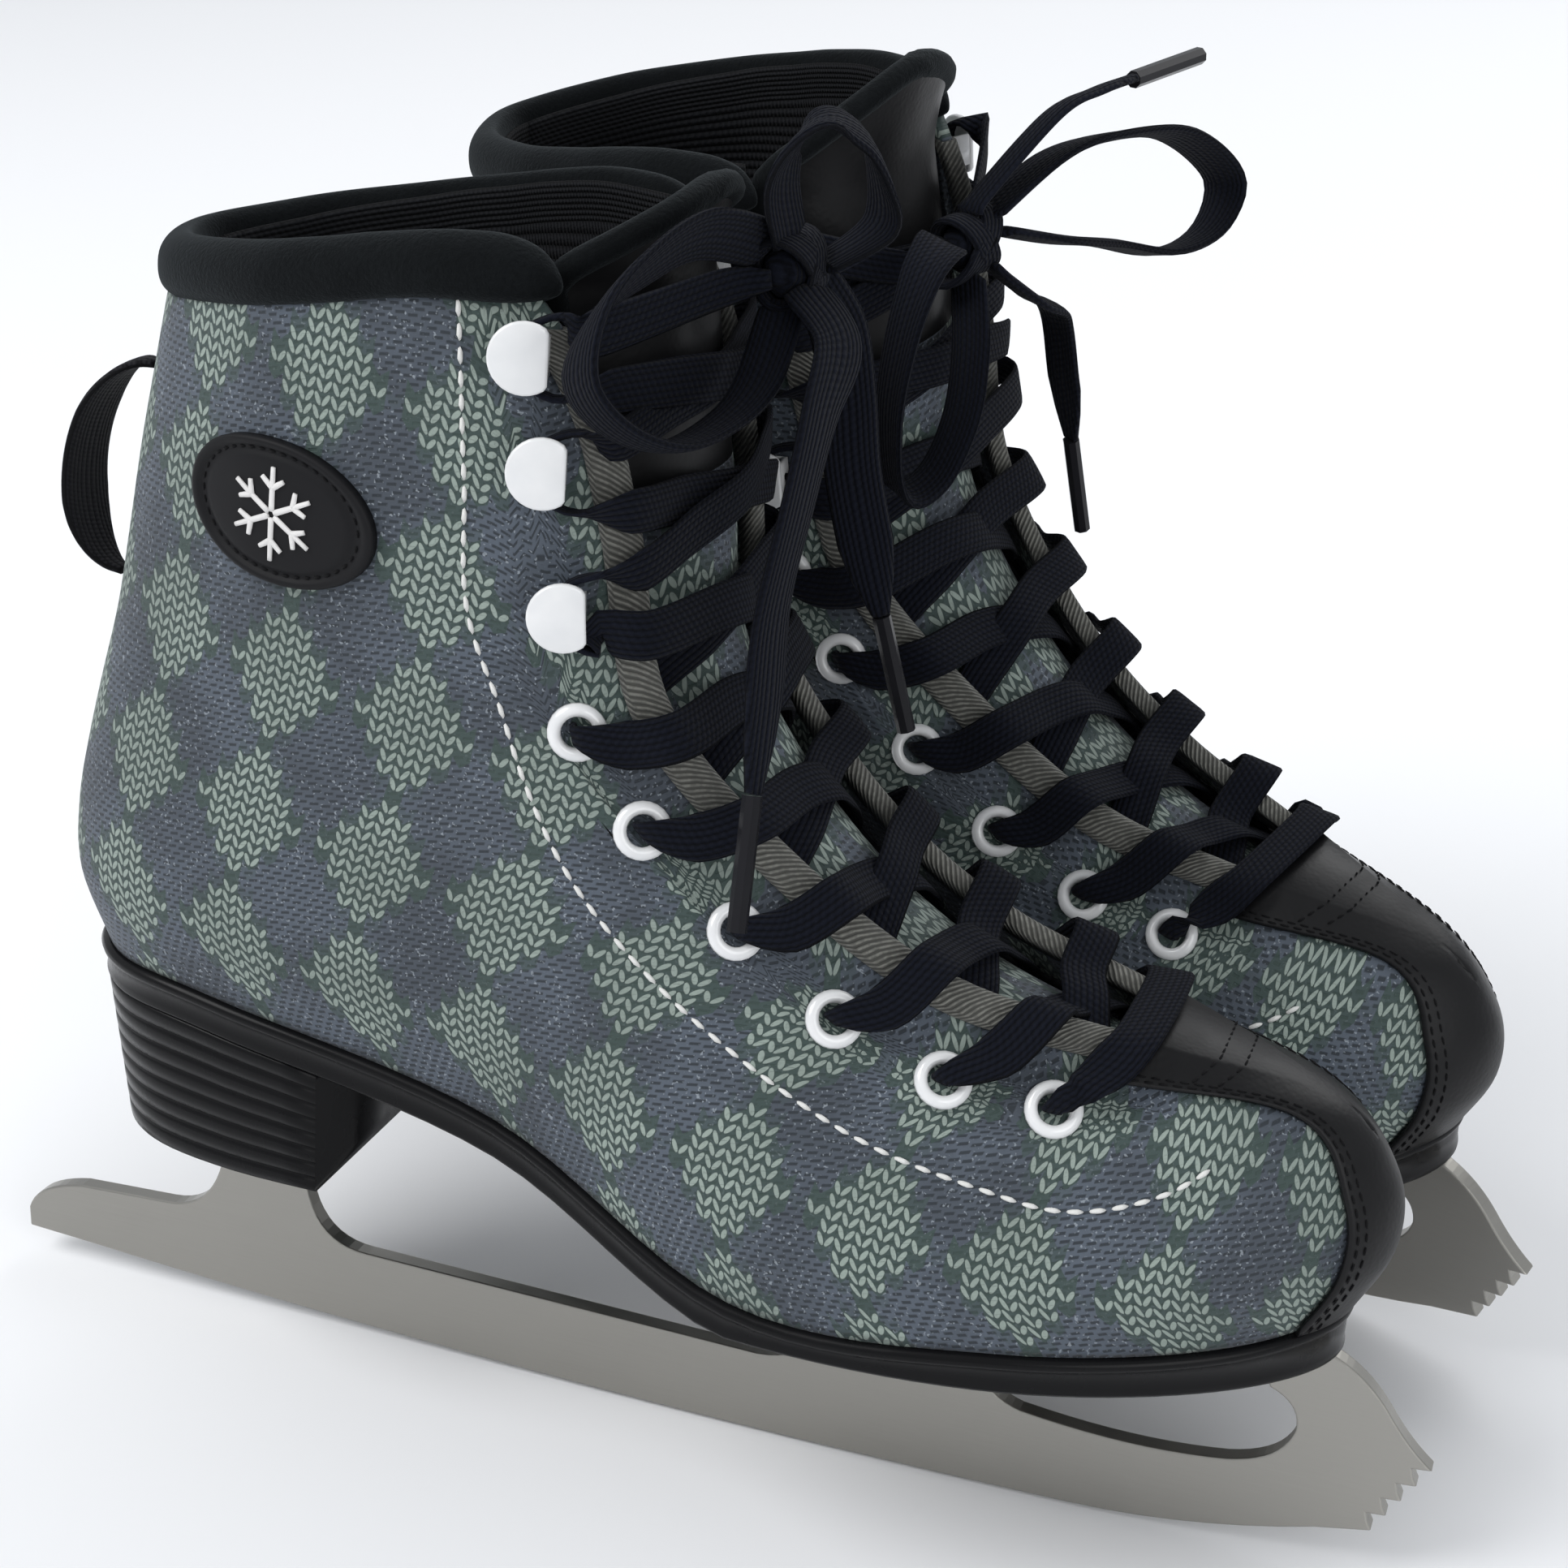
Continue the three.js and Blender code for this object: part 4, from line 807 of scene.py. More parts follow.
def make_binding(foot, side):
    """Ribbed tape folded over the front edge of a flap."""
    name = of_side("binding", side)
    rings, stations = [], 46
    for i in range(stations + 1):
        v = lerp(THROAT + 0.03, CUFF - 0.12, i / stations)
        last = front_edge(v)
        span = (surface(side, last, v) - surface(side, last - 0.4, v)).length / 0.4
        (edge, tip_out), (mid, mid_out), (root, root_out) = (
            (surface(side, last - back / span, v), outward(side, last - back / span, v))
            for back in (0.0, 3.0, 6.0))
        ahead = (edge - surface(side, last - 0.1, v)).normalized()
        wall, cover = UPPER_WALL, BINDING_WALL
        inner = -wall - 0.55
        outside = [root + root_out * 0.05, root + root_out * (cover * 0.8),
                   lerp(root, mid, 0.3) + root_out * cover, mid + mid_out * cover,
                   lerp(mid, edge, 0.55) + mid_out * cover, edge + tip_out * (cover * 0.85)]
        fold = [edge + ahead * 0.5 + tip_out * 0.3, edge + ahead * 0.75 - tip_out * (wall / 2),
                edge + ahead * 0.5 - tip_out * (wall + 0.2), edge + tip_out * inner]
        inside = [mid + mid_out * inner, mid + mid_out * (-wall + 0.05),
                  lerp(mid, edge, 0.5) - tip_out * 1.2, mid - mid_out * 0.6]
        rings.append(outside + fold + inside)
    across = [0, 0.8, 2.4, 3.8, 5.2, 6.6, 7.6, 8.9, 10.2, 11, 14, 15, 17, 19, 20]
    bm = loft_in_mm(rings, 5, lambda t: across[round(t * 14)])
    dress(finish_mesh(name, foot, bm, finish("twill")), foot, "twill_binding", name)


def make_back_stay(foot):
    """Narrow grey piping down the back seam."""
    stations, corners, rings = 40, 12, []
    for i in range(stations + 1):
        v = lerp(0.05, CUFF - 0.35, i / stations)
        at, out = surface(-1, 0, v), outward(-1, 0, v)
        turns = [2 * math.pi * k / corners for k in range(corners)]
        rings.append([at + out * (0.1 + math.sin(a) * 1.55) + Vector((0, math.cos(a) * BACK_STAY_WALL, 0))
                      for a in turns])
    bm = loft_in_mm(rings, 0, lambda t: t * 10)
    dress(finish_mesh("back_stay", foot, bm, finish("twill")), foot, "twill_binding", "back_stay")


def make_toe_strip(foot):
    """Leather strip over the toe, from the sole up to the foot of the tongue, with two rows of stitches."""
    def station(s, t, inset=0.0):
        v = lerp(0.05, 3.95, t)
        reach = lerp(0.62, 0.52, t) * (1 - 0.1 * math.sin(math.pi * t))
        u = FRONT - abs(s) * (1 - inset) * reach
        return (-1 if s <= 0 else 1), round(u, 4), round(v, 4)

    def place(s, t):
        across = 2 * s - 1
        side, u, v = station(across, t)
        p = skin(side, u, v, 0.55 + 0.25 * (1 - abs(across) ** 6))
        if abs(across) < 1e-3:
            p.y = 0
        return p

    bm = moved_grid(28, 40, place, lambda s, t: (t * 60, s * 32), out=Vector((1, 0, 0.3)))
    obj = finish_mesh("toe_strip", foot, bm, finish("leather"))
    give_wall(dress(obj, foot, "strip_leather", "toe_strip"), 0.9, 1.0)
    seams = [([station(side, i / 60, inset) for i in range(61)], 1.75, 2.4, 1.9)
             for side in SIDES for inset in (0.09, 0.2)]
    seams += [([station(i / 20, t) for i in range(-16, 17)], 1.8, 2.2, 1.8) for t in (0.885, 0.915)]
    parts = [stitch_line([skin(*stop, height) for stop in stops], [outward(*stop) for stop in stops],
                         pitch, length, 0.24) for stops, height, pitch, length in seams]
    stitches = finish_mesh("toe_strip_stitches", foot, joined(parts), finish("black thread"))
    dress(stitches, foot, "strip_leather")


# The saddle stitches' way down the side and forward to the toe, as x and z of a foot.
SADDLE_STITCH = ((116, 225), (117.5, 201), (118, 167), (127.5, 139.5), (143, 114.5), (178.5, 89.5),
                 (206, 80.5), (221, 78), (235, 80.5), (244.5, 86))


def on_side(side, x, z):
    """The (u, v) of the upper's side that has this x and z."""
    u, v = 4.0, 5.0
    for _ in range(30):
        p = surface(side, u, v)
        d = 0.01
        du = (surface(side, min(u + d, FRONT), v) - surface(side, u - d, v)) / (2 * d)
        dv = (surface(side, u, min(v + d, CUFF)) - surface(side, u, max(v - d, 0))) / (2 * d)
        det = du.x * dv.z - du.z * dv.x
        ex, ez = x - p.x, z - p.z
        u += 0.7 * (ex * dv.z - ez * dv.x) / det
        v += 0.7 * (du.x * ez - du.z * ex) / det
        u, v = min(max(u, 0.1), FRONT - 0.02), min(max(v, 0.05), CUFF - 0.01)
    return round(u, 4), round(v, 4)


def make_saddle_stitch(foot, sizes):
    """White stitches down from the collar and along the sides to the toe strip."""
    parts = []
    for side in SIDES:
        stops = [on_side(side, x, z) for x, z in SADDLE_STITCH]
        smooth, _, _ = spline([(u, v, 0) for u, v in stops], 90)
        keys = [(round(min(p.x, FRONT), 4), round(min(p.y, CUFF - 0.01), 4)) for p in smooth]
        path = [skin(side, u, v, 0.15) for u, v in keys]
        outs = [outward(side, u, v) for u, v in keys]
        parts.append(stitch_line(path, outs, sizes.stitch_pitch / MM, 3.2, 0.5))
    dress(finish_mesh("saddle_stitch", foot, joined(parts), finish("white thread")), foot, "lace_cord")


def make_collar(foot, sizes):
    """Padded fleece roll round the top of the boot, closed by a rounded corner at each flap."""
    fill = sizes.collar_fill / MM
    middle = Vector((-2.2, 3.4))
    profile = ((0.3, -0.9), (0.9 + fill, 0.6), (1.1 + fill, 3.2), (0.7 + fill, 6.2), (-0.6, 8.6), (-2.8, 9.5),
               (-4.6, 8.6), (-5.4, 6.4), (-5.5, 3.4), (-5.0, 0.6), (-3.9, -1.4), (-1.8, -1.4))
    rings, last, half = [], 6.7, 36
    stations = [(1, last - i * last / half) for i in range(half)]
    stations += [(-1, i * last / half) for i in range(half + 1)]
    for i, (side, u) in enumerate(stations):
        u = round(u, 4)
        at, out = skin(side, u, CUFF), outward(side, u, CUFF).copy()
        out.z = 0
        out.normalize()
        near_end = min(i, len(stations) - 1 - i) / 5
        swell = math.sqrt(max(0.0, 1 - (1 - min(near_end, 1.0)) ** 2)) * 0.8 + 0.2
        lump = 1 + 0.05 * noise.noise(at * 0.06)
        ring = []
        for corner in profile:
            d, h = (Vector(corner) - middle) * swell * lump + middle * (0.45 + 0.55 * swell)
            ring.append(at + out * d + Vector((0, 0, h)))
        rings.append(ring)
    bm = loft_in_mm(rings, 4, lambda t: t * 36)
    obj = dress(finish_mesh("collar", foot, bm, finish("fleece")), foot, "collar_fleece", "collar")
    soft = obj.modifiers.new("Soft", "SUBSURF")
    soft.levels = soft.render_levels = 2


TONGUE_RISE = {"right": 15.0, "left": 21.0}
AT_CUFF = 0.8                    # share of the tongue below the cuff
CAP_FROM = 0.655                 # share of the tongue below its leather cap
TONGUE_LENGTH = 150              # of the cloth up its middle


def tongue_point(foot, s, t, height):
    """A point on the tongue's outer face, t running up it and past the cuff."""
    v = lerp(THROAT + 0.02, CUFF, min(t / AT_CUFF, 1.0))
    p = across_tongue(v, s * 0.995, height)
    if t > AT_CUFF:
        share = (t - AT_CUFF) / (1 - AT_CUFF)
        rise = TONGUE_RISE[foot] * (1 - 0.75 * abs(s) ** 1.5) * share
        p = p + Vector((rise * 0.12 + 2.2 * share * share, 0, rise))
    return p


def make_tongue(foot):
    """Padded tongue: cloth under the laces, and a smooth leather cap that stands above the cuff."""
    def place(s, t):
        x = 2 * s - 1
        edge = 1 - 0.35 * max(0.0, abs(x) - 0.86) / 0.14
        pillow = 0.5 * math.cos(x * math.pi / 2) - 0.8 * (1 - edge)
        return tongue_point(foot, x, t, pillow - 0.7)

    bm = moved_grid(26, 64, place, lambda s, t: ((s - 0.5) * 46, t * TONGUE_LENGTH),
                    out=Vector((1, 0, 0.6)))
    layer = bm.loops.layers.uv["Surface"]
    for face in bm.faces:
        t = sum(loop[layer].uv.y for loop in face.loops) / len(face.loops) / TONGUE_LENGTH
        face.material_index = 0 if t > CAP_FROM else 1
    obj = finish_mesh("tongue", foot, bm, finish("leather"))
    obj.data.materials.append(finish("cloth"))
    dress(obj, foot, "tongue_leather", "tongue")
    give_wall(obj, TONGUE_WALL)
    soft = obj.modifiers.new("Soft", "SUBSURF")
    soft.levels = soft.render_levels = 1
    climb = [i / 20 for i in range(10, 20)]
    rim = [(-0.97, t) for t in climb] + [(x / 10, 1.0) for x in range(-9, 10)]
    rim += [(0.97, t) for t in reversed(climb)]
    path = [tongue_point(foot, s, t, -1.9) for s, t in rim]
    roll, _, _ = ribbon(path, [(0, 1, 0)] + [(0.2, 1, 0.1)] * 2, [5.2] * 3, 4.6, 90, around=12, soft=0.9)
    dress(finish_mesh("tongue_roll", foot, roll, finish("fleece")), foot, "collar_fleece")


# ---- eyelets and hooks ----
def eyelet_place(side, v):
    """Where an eyelet or hook stands, its axis, and the direction of the front edge."""
    at = skin(side, FLAP_LINE, v)
    return at, outward(side, FLAP_LINE, v), skin(side, FLAP_LINE + 0.6, v) - at


EYELET_PROFILE = ((2.7, -2.6), (2.7, 0.7), (2.95, 1.35), (3.6, 1.62), (4.4, 1.35), (4.9, 0.75), (5.0, 0.2),
                  (4.0, 0.1), (3.25, 0.0), (3.25, -2.6), (2.7, -2.6))


def make_eyelets(foot, side):
    """A row of rolled eyelets."""
    parts = []
    for v in EYELETS:
        ring = spun(EYELET_PROFILE, 24)
        at, out, towards = eyelet_place(side, v)
        bmesh.ops.transform(ring, matrix=basis(at, out, towards), verts=ring.verts)
        parts.append(ring)
    name = of_side("eyelets", side)
    dress(finish_mesh(name, foot, joined(parts), finish("enamel")), foot, "white_enamel", name)


def solid_from(outline, low, high, bevel):
    """A flat outline given thickness, its edges rounded."""
    bm = bmesh.new()
    face = bm.faces.new([bm.verts.new((x, y, low)) for x, y in outline])
    grown = bmesh.ops.extrude_face_region(bm, geom=[face])
    moved = [g for g in grown["geom"] if isinstance(g, bmesh.types.BMVert)]
    bmesh.ops.translate(bm, vec=(0, 0, high - low), verts=moved)
    bmesh.ops.recalc_face_normals(bm, faces=bm.faces)
    if bevel:
        rims = [e for e in bm.edges if abs(e.verts[0].co.z - e.verts[1].co.z) < 1e-6]
        bmesh.ops.bevel(bm, geom=rims, offset=bevel, segments=2, profile=0.5, affect="EDGES")
    return bm


def make_hooks(foot, side):
    """White speed hooks: a round head, flat towards the front, on a bent stem with a riveted foot."""
    radius, half = 5.8, 3.1
    turn = [2 * math.pi * i / 32 for i in range(32)]
    half_turn = [math.pi / 2 + math.pi * i / 8 for i in range(9)]
    head = [(2.3 + min(radius * math.cos(a), 3.7), radius * math.sin(a)) for a in turn]
    foot_plate = [(1.2 * math.cos(a), 2.9 * math.sin(a)) for a in half_turn] + [(5.0, -half), (5.0, half)]
    stem = [(4.8, -half), (5.9, -half), (5.9, half), (4.8, half)]
    rivet = ((0, 1.9), (1.0, 1.8), (1.5, 1.4), (1.5, -2.5), (0, -2.5))
    parts = []
    for v in HOOKS:
        at, out, towards = eyelet_place(side, v)
        shapes = [solid_from(head, HOOK_REACH, HOOK_REACH + 1.3, 0.45),
                  solid_from(foot_plate, 0.3, 1.25, 0.25), solid_from(stem, 0.5, HOOK_REACH + 0.9, 0.2),
                  spun(rivet, 12)]
        for bm in shapes:
            bmesh.ops.transform(bm, matrix=basis(at, out, towards), verts=bm.verts)
            parts.append(bm)
    name = of_side("hooks", side)
    dress(finish_mesh(name, foot, joined(parts), finish("enamel")), foot, "white_enamel", name)


# ---- laces ----
# Heights of a crossing lace: over the flap's tape, on the tongue, and over or under the other half.
OVER_FLAP = BINDING_WALL + LACE_WALL / 2 + 5.5 * CLEARANCE
ON_TONGUE = LACE_WALL / 2 + 3 * CLEARANCE
LIFT_OVER = LACE_WALL * 2.5 + 2 * CLEARANCE
LIFT_UNDER = LACE_WALL * 0.5 + 2 * CLEARANCE
HOLE_WIDTH = 3.6
LEVEL = Vector((0, 0, 1))


def hole_stops(side, v):
    """Up through an eyelet: each stop is a point, a direction across the lace and its width."""
    at, out, _ = eyelet_place(side, v)
    across = (skin(side, FLAP_LINE, v + 0.1) - skin(side, FLAP_LINE, v - 0.1)).normalized()
    heights = (-TONGUE_DEPTH + LACE_WALL / 2 + CLEARANCE, -UPPER_WALL / 2, CLEARANCE + 3)
    return [(at + out * h, across, HOLE_WIDTH) for h in heights]


def crossing_stops(side, start, end, lift, width):
    """From one eyelet, over its own flap and the tongue, and under the far flap to the next one down."""
    def at(share):
        return lerp(start, end, share)

    across = skin(-1, FLAP_LINE, at(0.5) + 0.2) - skin(-1, FLAP_LINE, at(0.5) - 0.2)
    across.y = 0
    across.normalize()
    return [(skin(side, 6.45, at(0.12), OVER_FLAP + 0.6), across, width),
            (skin(side, FRONT, at(0.24), OVER_FLAP + 1.7), across, width),
            (across_tongue(at(0.38), side * 0.35, lift + 2 * LACE_WALL), across, width),
            (across_tongue(at(0.5), 0, lift + 0.6), across, width),
            (across_tongue(at(0.64), -side * 0.36, ON_TONGUE + 0.2), across, width),
            (across_tongue(at(0.78), -side * 0.7, ON_TONGUE), across, width * 0.9),
            (across_tongue(at(0.94), -side * 0.97, ON_TONGUE), across, width * 0.6)]


def hook_point(side, v, a, b, h):
    """In a hook's own frame: a towards the front edge, b up the foot, h off the upper."""
    at, out, towards = eyelet_place(side, v)
    up_foot = (towards.cross(out) * side).normalized()
    edgeward = (out.cross(up_foot) * side).normalized()
    return at + edgeward * a + up_foot * b + out * h


def hook_stops(side, v):
    """Round behind a hook's stem, turned on edge."""
    out = outward(side, FLAP_LINE, v)
    turn = ((8, 6.4), (4.2, 5.4), (1.6, 3), (1.6, -3), (4.2, -5.4), (8, -6.4))
    return [(hook_point(side, v, a, b, 1.4 + HOOK_REACH / 3), out, HOOK_REACH - 1.5) for a, b in turn]


def hook_crossing_stops(side, start, end, lift, width):
    """From one hook over the tongue to the next one down on the other side."""
    def at(share):
        return lerp(start, end, share)

    return [(skin(side, FRONT, at(0.28), OVER_FLAP), LEVEL, width * 0.9),
            (across_tongue(at(0.39), side * 0.45, lift + LACE_WALL), LEVEL, width),
            (across_tongue(at(0.5), 0, lift + 0.4), LEVEL, width),
            (across_tongue(at(0.61), -side * 0.45, lift + LACE_WALL), LEVEL, width),
            (skin(-side, FRONT, at(0.72), OVER_FLAP), LEVEL, width * 0.9)]


def knot_approach(knot, side, width):
    """Out of the knot's side and down to the flap above the top hook."""
    (x, y, z), size = knot

    def beside(dx, dy, dz):
        return Vector((x + dx, y + side * (size[1] / 2 + dy), z + dz))

    return [(beside(-1, 0, -1), LEVEL, 3.3), (beside(-7, 6, -2), LEVEL, width * 0.8),
            (skin(side, FRONT, HOOKS[2] + 0.12, OVER_FLAP + 1), LEVEL, width)]


def lace_half(knot, start_side, width):
    """One half of the lace, from the knot down to the lowest eyelet, and the side that it ends on."""
    stops, side = knot_approach(knot, start_side, width), start_side
    hooks, holes = HOOKS[::-1], EYELETS[::-1]
    lift = LIFT_OVER if start_side < 0 else LIFT_UNDER
    for i, v in enumerate(hooks):
        stops += hook_stops(side, v)
        if i + 1 < len(hooks):
            stops += hook_crossing_stops(side, v, hooks[i + 1], lift, width)
            side = -side
    start = hooks[-1]
    for end in holes:
        stops += crossing_stops(side, start, end, lift, width)
        side = -side
        stops += hole_stops(side, end)
        start = end
    return stops, side


def make_lace(foot, sizes):
    """One flat lace, from the knot down through hooks and eyelets, over the throat, and up again."""
    width = sizes.lace_width / MM
    knot = BOWS[foot]["knot"]
    down, down_side = lace_half(knot, -1, width)
    up, up_side = lace_half(knot, 1, width)
    v, forward = EYELETS[0] + 0.02, Vector((1, 0, 0))

    def over_edge(side):
        return [(skin(side, TUCK, v, OVER_FLAP + 0.4), forward, width),
                (skin(side, FRONT, v, OVER_FLAP), forward, width)]

    stops = down + over_edge(down_side) + over_edge(up_side)[::-1] + up[::-1]
    samples = 900
    points, lies, widths = zip(*stops)
    bm, _, _ = ribbon(points, lies, widths, LACE_WALL + 0.1, samples, around=12)
    dress(finish_mesh("lace", foot, bm, finish("lace")), foot, "lace_cord", "lace")


def make_knot(foot):
    """The knot: a lump of lace with two turns of it wrapped round."""
    (x, y, z), (sx, sy, sz) = BOWS[foot]["knot"]
    lump = bmesh.new()
    lump.loops.layers.uv.new("Surface")
    bmesh.ops.create_icosphere(lump, subdivisions=3, radius=0.5, calc_uvs=False)
    layer = lump.loops.layers.uv["Surface"]
    for vert in lump.verts:
        n = noise.noise(vert.co * 4)
        vert.co = Vector((vert.co.x * sx, vert.co.y * sy, vert.co.z * sz)) * (0.92 + 0.1 * n)
        vert.co += Vector((x, y, z))
    for face in lump.faces:
        for loop in face.loops:
            loop[layer].uv = (loop.vert.co.z, loop.vert.co.y)
    parts = [lump]
    for tilt, lean, scale in ((0.25, 0.1, 0.52), (-0.5, 0.3, 0.5)):
        turn = []
        for i in range(13):
            a = 2 * math.pi * i / 12
            turn.append((x + sx * scale * math.cos(a), y + math.sin(a) * sy * tilt + lean * 3,
                         z + sz * scale * math.sin(a)))
        band, _, _ = ribbon(turn, [(0, 1, 0.1)] * 2, [6.0] * 3, 1.5, 48, around=12)
        parts.append(band)
    dress(finish_mesh("lace_knot", foot, joined(parts), finish("lace")), foot, "lace_cord", "lace_knot")


def out_of_knot(knot, point):
    """A lace leaves the knot straight out, in the direction of a point near it."""
    (x, y, z), size = knot
    centre = Vector((x, y, z))
    out = Vector(point) - centre
    reach = out.length / math.sqrt(sum((out[i] / (size[i] / 2)) ** 2 for i in range(3)))
    out.normalize()
    return [centre + out * (reach + d) for d in (0.4, 2.0)]


# A cord is at least six diameters long, so the left skate's short ends are narrower than its loops.
SHORT_ENDS = {"lace_end_a": 0.68, "lace_end_b": 0.94}


def make_loose_lace(foot, name, sizes):
    """A loop of the bow, or one of the lace's two ends, lying free from the knot."""
    points, lies = BOWS[foot][name]
    knot, loop = BOWS[foot]["knot"], name.startswith("bow")
    free = [Vector(p) for p in (points[1:-1] if loop else points[1:])]
    through = out_of_knot(knot, points[0]) + free
    if loop:
        through += out_of_knot(knot, points[-1])[::-1]
    wide = sizes.bow_width / MM
    if foot == "left" and not loop:
        wide *= SHORT_ENDS[name]
    widths = [4.0, wide * 0.85] + [wide] * 8 + ([wide * 0.85, 4.0] if loop else [wide * 0.75, 3.4])
    bm, path, length = ribbon(through, lies, widths, sizes.lace_thickness / MM, 64, around=14, crown=0.35)
    obj = dress(finish_mesh(name, foot, bm, finish("lace")), foot, "lace_cord", name)
    route = [PLACES[foot] @ p for p in path]
    facts = dict(exit=tuple(route[0]), length=length * MM, diameter=wide * MM, stiffness="limp",
                 lay="hanging", path=[tuple(p) for p in route])
    if loop:
        return


# ---- badge and pull loop ----
BADGE_AT = (2.45, 6.95)
BADGE_SIZE = (38.0, 25.0)


def badge_place(x, y, height):
    """A point on the badge's face: x and y in millimetres from its middle."""
    side, (u, v) = -1, BADGE_AT
    at, out = skin(side, u, v), outward(side, u, v)
    forward = Vector((1, 0, -0.12))
    along = (forward - out * out.dot(forward)).normalized()
    up = along.cross(out)
    up = -up if up.z < 0 else up
    flat = at + along * x + up * y
    uu, vv = u, v
    for _ in range(6):
        p = surface(side, uu, vv)
        d = 0.02
        du = (surface(side, uu + d, vv) - surface(side, uu - d, vv)) / (2 * d)
        dv = (surface(side, uu, vv + d) - surface(side, uu, vv - d)) / (2 * d)
        e = flat - p
        a, b, c = du.dot(du), du.dot(dv), dv.dot(dv)
        ex, ey = e.dot(du), e.dot(dv)
        det = a * c - b * b
        uu += (ex * c - ey * b) / det
        vv += (ey * a - ex * b) / det
    return surface(side, uu, vv) + outward(side, uu, vv) * height


def make_badge(foot):
    """Oval rubber badge on the ankle: a raised rim, a sewn channel, and a plain six-armed star."""
    a, b = BADGE_SIZE[0] / 2, BADGE_SIZE[1] / 2
    rings = ((1.0, 0.05), (1.0, 1.3), (0.985, 1.75), (0.95, 1.95), (0.9, 1.75), (0.875, 1.3), (0.84, 1.15),
             (0.8, 1.3), (0.77, 1.6), (0.72, 1.7), (0.6, 1.75), (0.4, 1.8), (0.2, 1.82), (0.02, 1.82))

    def place(s, t):
        share, height = rings[round(s * (len(rings) - 1))]
        angle = 2 * math.pi * t
        return badge_place(a * share * math.cos(angle), b * share * math.sin(angle), height)

    bm = moved_grid(len(rings) - 1, 64, place, wrapped=True)
    dress(finish_mesh("badge", foot, bm, finish("badge")), foot, "badge_rubber", "badge")
    turn = [2 * math.pi * i / 96 for i in range(97)]
    channel = [badge_place(a * 0.845 * math.cos(t), b * 0.845 * math.sin(t), 1.25) for t in turn]
    out = outward(-1, *BADGE_AT)
    thread = stitch_line(channel, [out] * len(channel), 2.1, 1.5, 0.3)
    dress(finish_mesh("badge_stitches", foot, thread, finish("black thread")), foot, "badge_rubber")
    star, fork = [], 4.6
    for arm in range(6):
        angle = math.pi / 6 + math.pi * arm / 3
        c, n = math.cos(angle), math.sin(angle)
        star.append([(c * r, n * r) for r in (0.6, 3, 5.5, 8.2)])
        for twig in (-1, 1):
            bent = angle + twig * math.radians(52)
            star.append([(c * fork + math.cos(bent) * r, n * fork + math.sin(bent) * r)
                         for r in (0, 1.3, 2.6)])
    arms = []
    for line in star:
        points = [badge_place(x, y, 1.95) for x, y in line]
        across = (points[-1] - points[0]).cross(out)
        arm, _, _ = ribbon(points, [across] * 2, [1.1, 1.0, 0.8], 0.6, 8, around=8)
        arms.append(arm)
    dress(finish_mesh("badge_star", foot, joined(arms), finish("badge mark")), foot, "white_enamel")


def make_pull_loop(foot):
    """Webbing loop sewn to the back seam at its two ends."""
    stand_off = CLEARANCE + BACK_STAY_WALL + 0.65
    ends = [skin(-1, 0, v, stand_off) for v in (5.1, 7.6)]
    along = ends[1] - ends[0]
    out = Vector((-along.z, 0, along.x)).normalized()
    points, widths, steps = [], [], 14
    for i in range(steps + 1):
        angle = math.pi * i / steps
        points.append(ends[0] + along * ((1 - math.cos(angle)) / 2) + out * (11.5 * math.sin(angle)))
        widths.append(lerp(2.5, 14.6, min(1.0, math.sin(angle) * 1.15)))
    bm, _, _ = ribbon(points, [(0, 1, 0)] * 2, widths, 1.7, 72, around=14)
    obj = finish_mesh("pull_loop", foot, bm, finish("webbing"))
    dress(obj, foot, "loop_webbing", "pull_loop", body="pull_loop")


# ---- sole, heel and blade ----
HEEL_ENDS = 2.4                  # u of the heel's front face
HEEL_TAPER = 0.91
HEEL_MIDDLE = 58                 # x that the heel tapers towards


def feather(side, u, inset):
    """A point on the sole's outline, pushed out from the upper's lowest edge."""
    p = surface(side, u, 0)
    d = 0.03
    run = surface(side, min(u + d, FRONT), 0) - surface(side, max(u - d, 0), 0)
    if u < d or u > FRONT - d:
        run = Vector((0, side if u < d else -side, 0))
    out = Vector((run.y, -run.x, 0)).normalized() * -side
    return p - out * inset


def sole_profile(side, u, stops):
    """Points of a section's edge, from stops of inset and height."""
    lowest = surface(side, u, 0).z
    return [feather(side, u, inset) + Vector((0, 0, z - lowest)) for inset, z in stops]


def underside(u):
    """Height of the sole's underside, which is level under the ball of the foot."""
    low = surface(-1, u, 0).z - CLEARANCE - SOLE_THICKNESS
    return SOLE_HEIGHT if u >= 4 else max(SOLE_HEIGHT, low)


def fine_steps(last, count):
    """Stations from the back seam, closer together where the outline turns at its ends."""
    return [round(last * (1 - math.cos(math.pi * i / count)) / 2, 4) for i in range(count + 1)]


def make_outsole(foot):
    """Moulded sole with a rounded welt that stands out under the upper."""
    rings = []
    for u in fine_steps(FRONT, 90):
        high, low = surface(-1, u, 0).z - CLEARANCE * 0.3, underside(u)
        edge = ((2.0, high - 0.2), (-0.2, high), (-1.1, high - 0.3), (-1.55, high - 1.2), (-1.3, high - 2.1),
                (-0.7, high - 2.5), (-0.55, low + 1.6), (-0.75, low + 0.7), (-0.5, low + 0.15), (0.6, low))
        rings.append(sole_profile(-1, u, edge) + sole_profile(1, u, edge)[::-1])
    dress(finish_mesh("outsole", foot, loft(rings), finish("sole")), foot, "sole_rubber", "outsole")


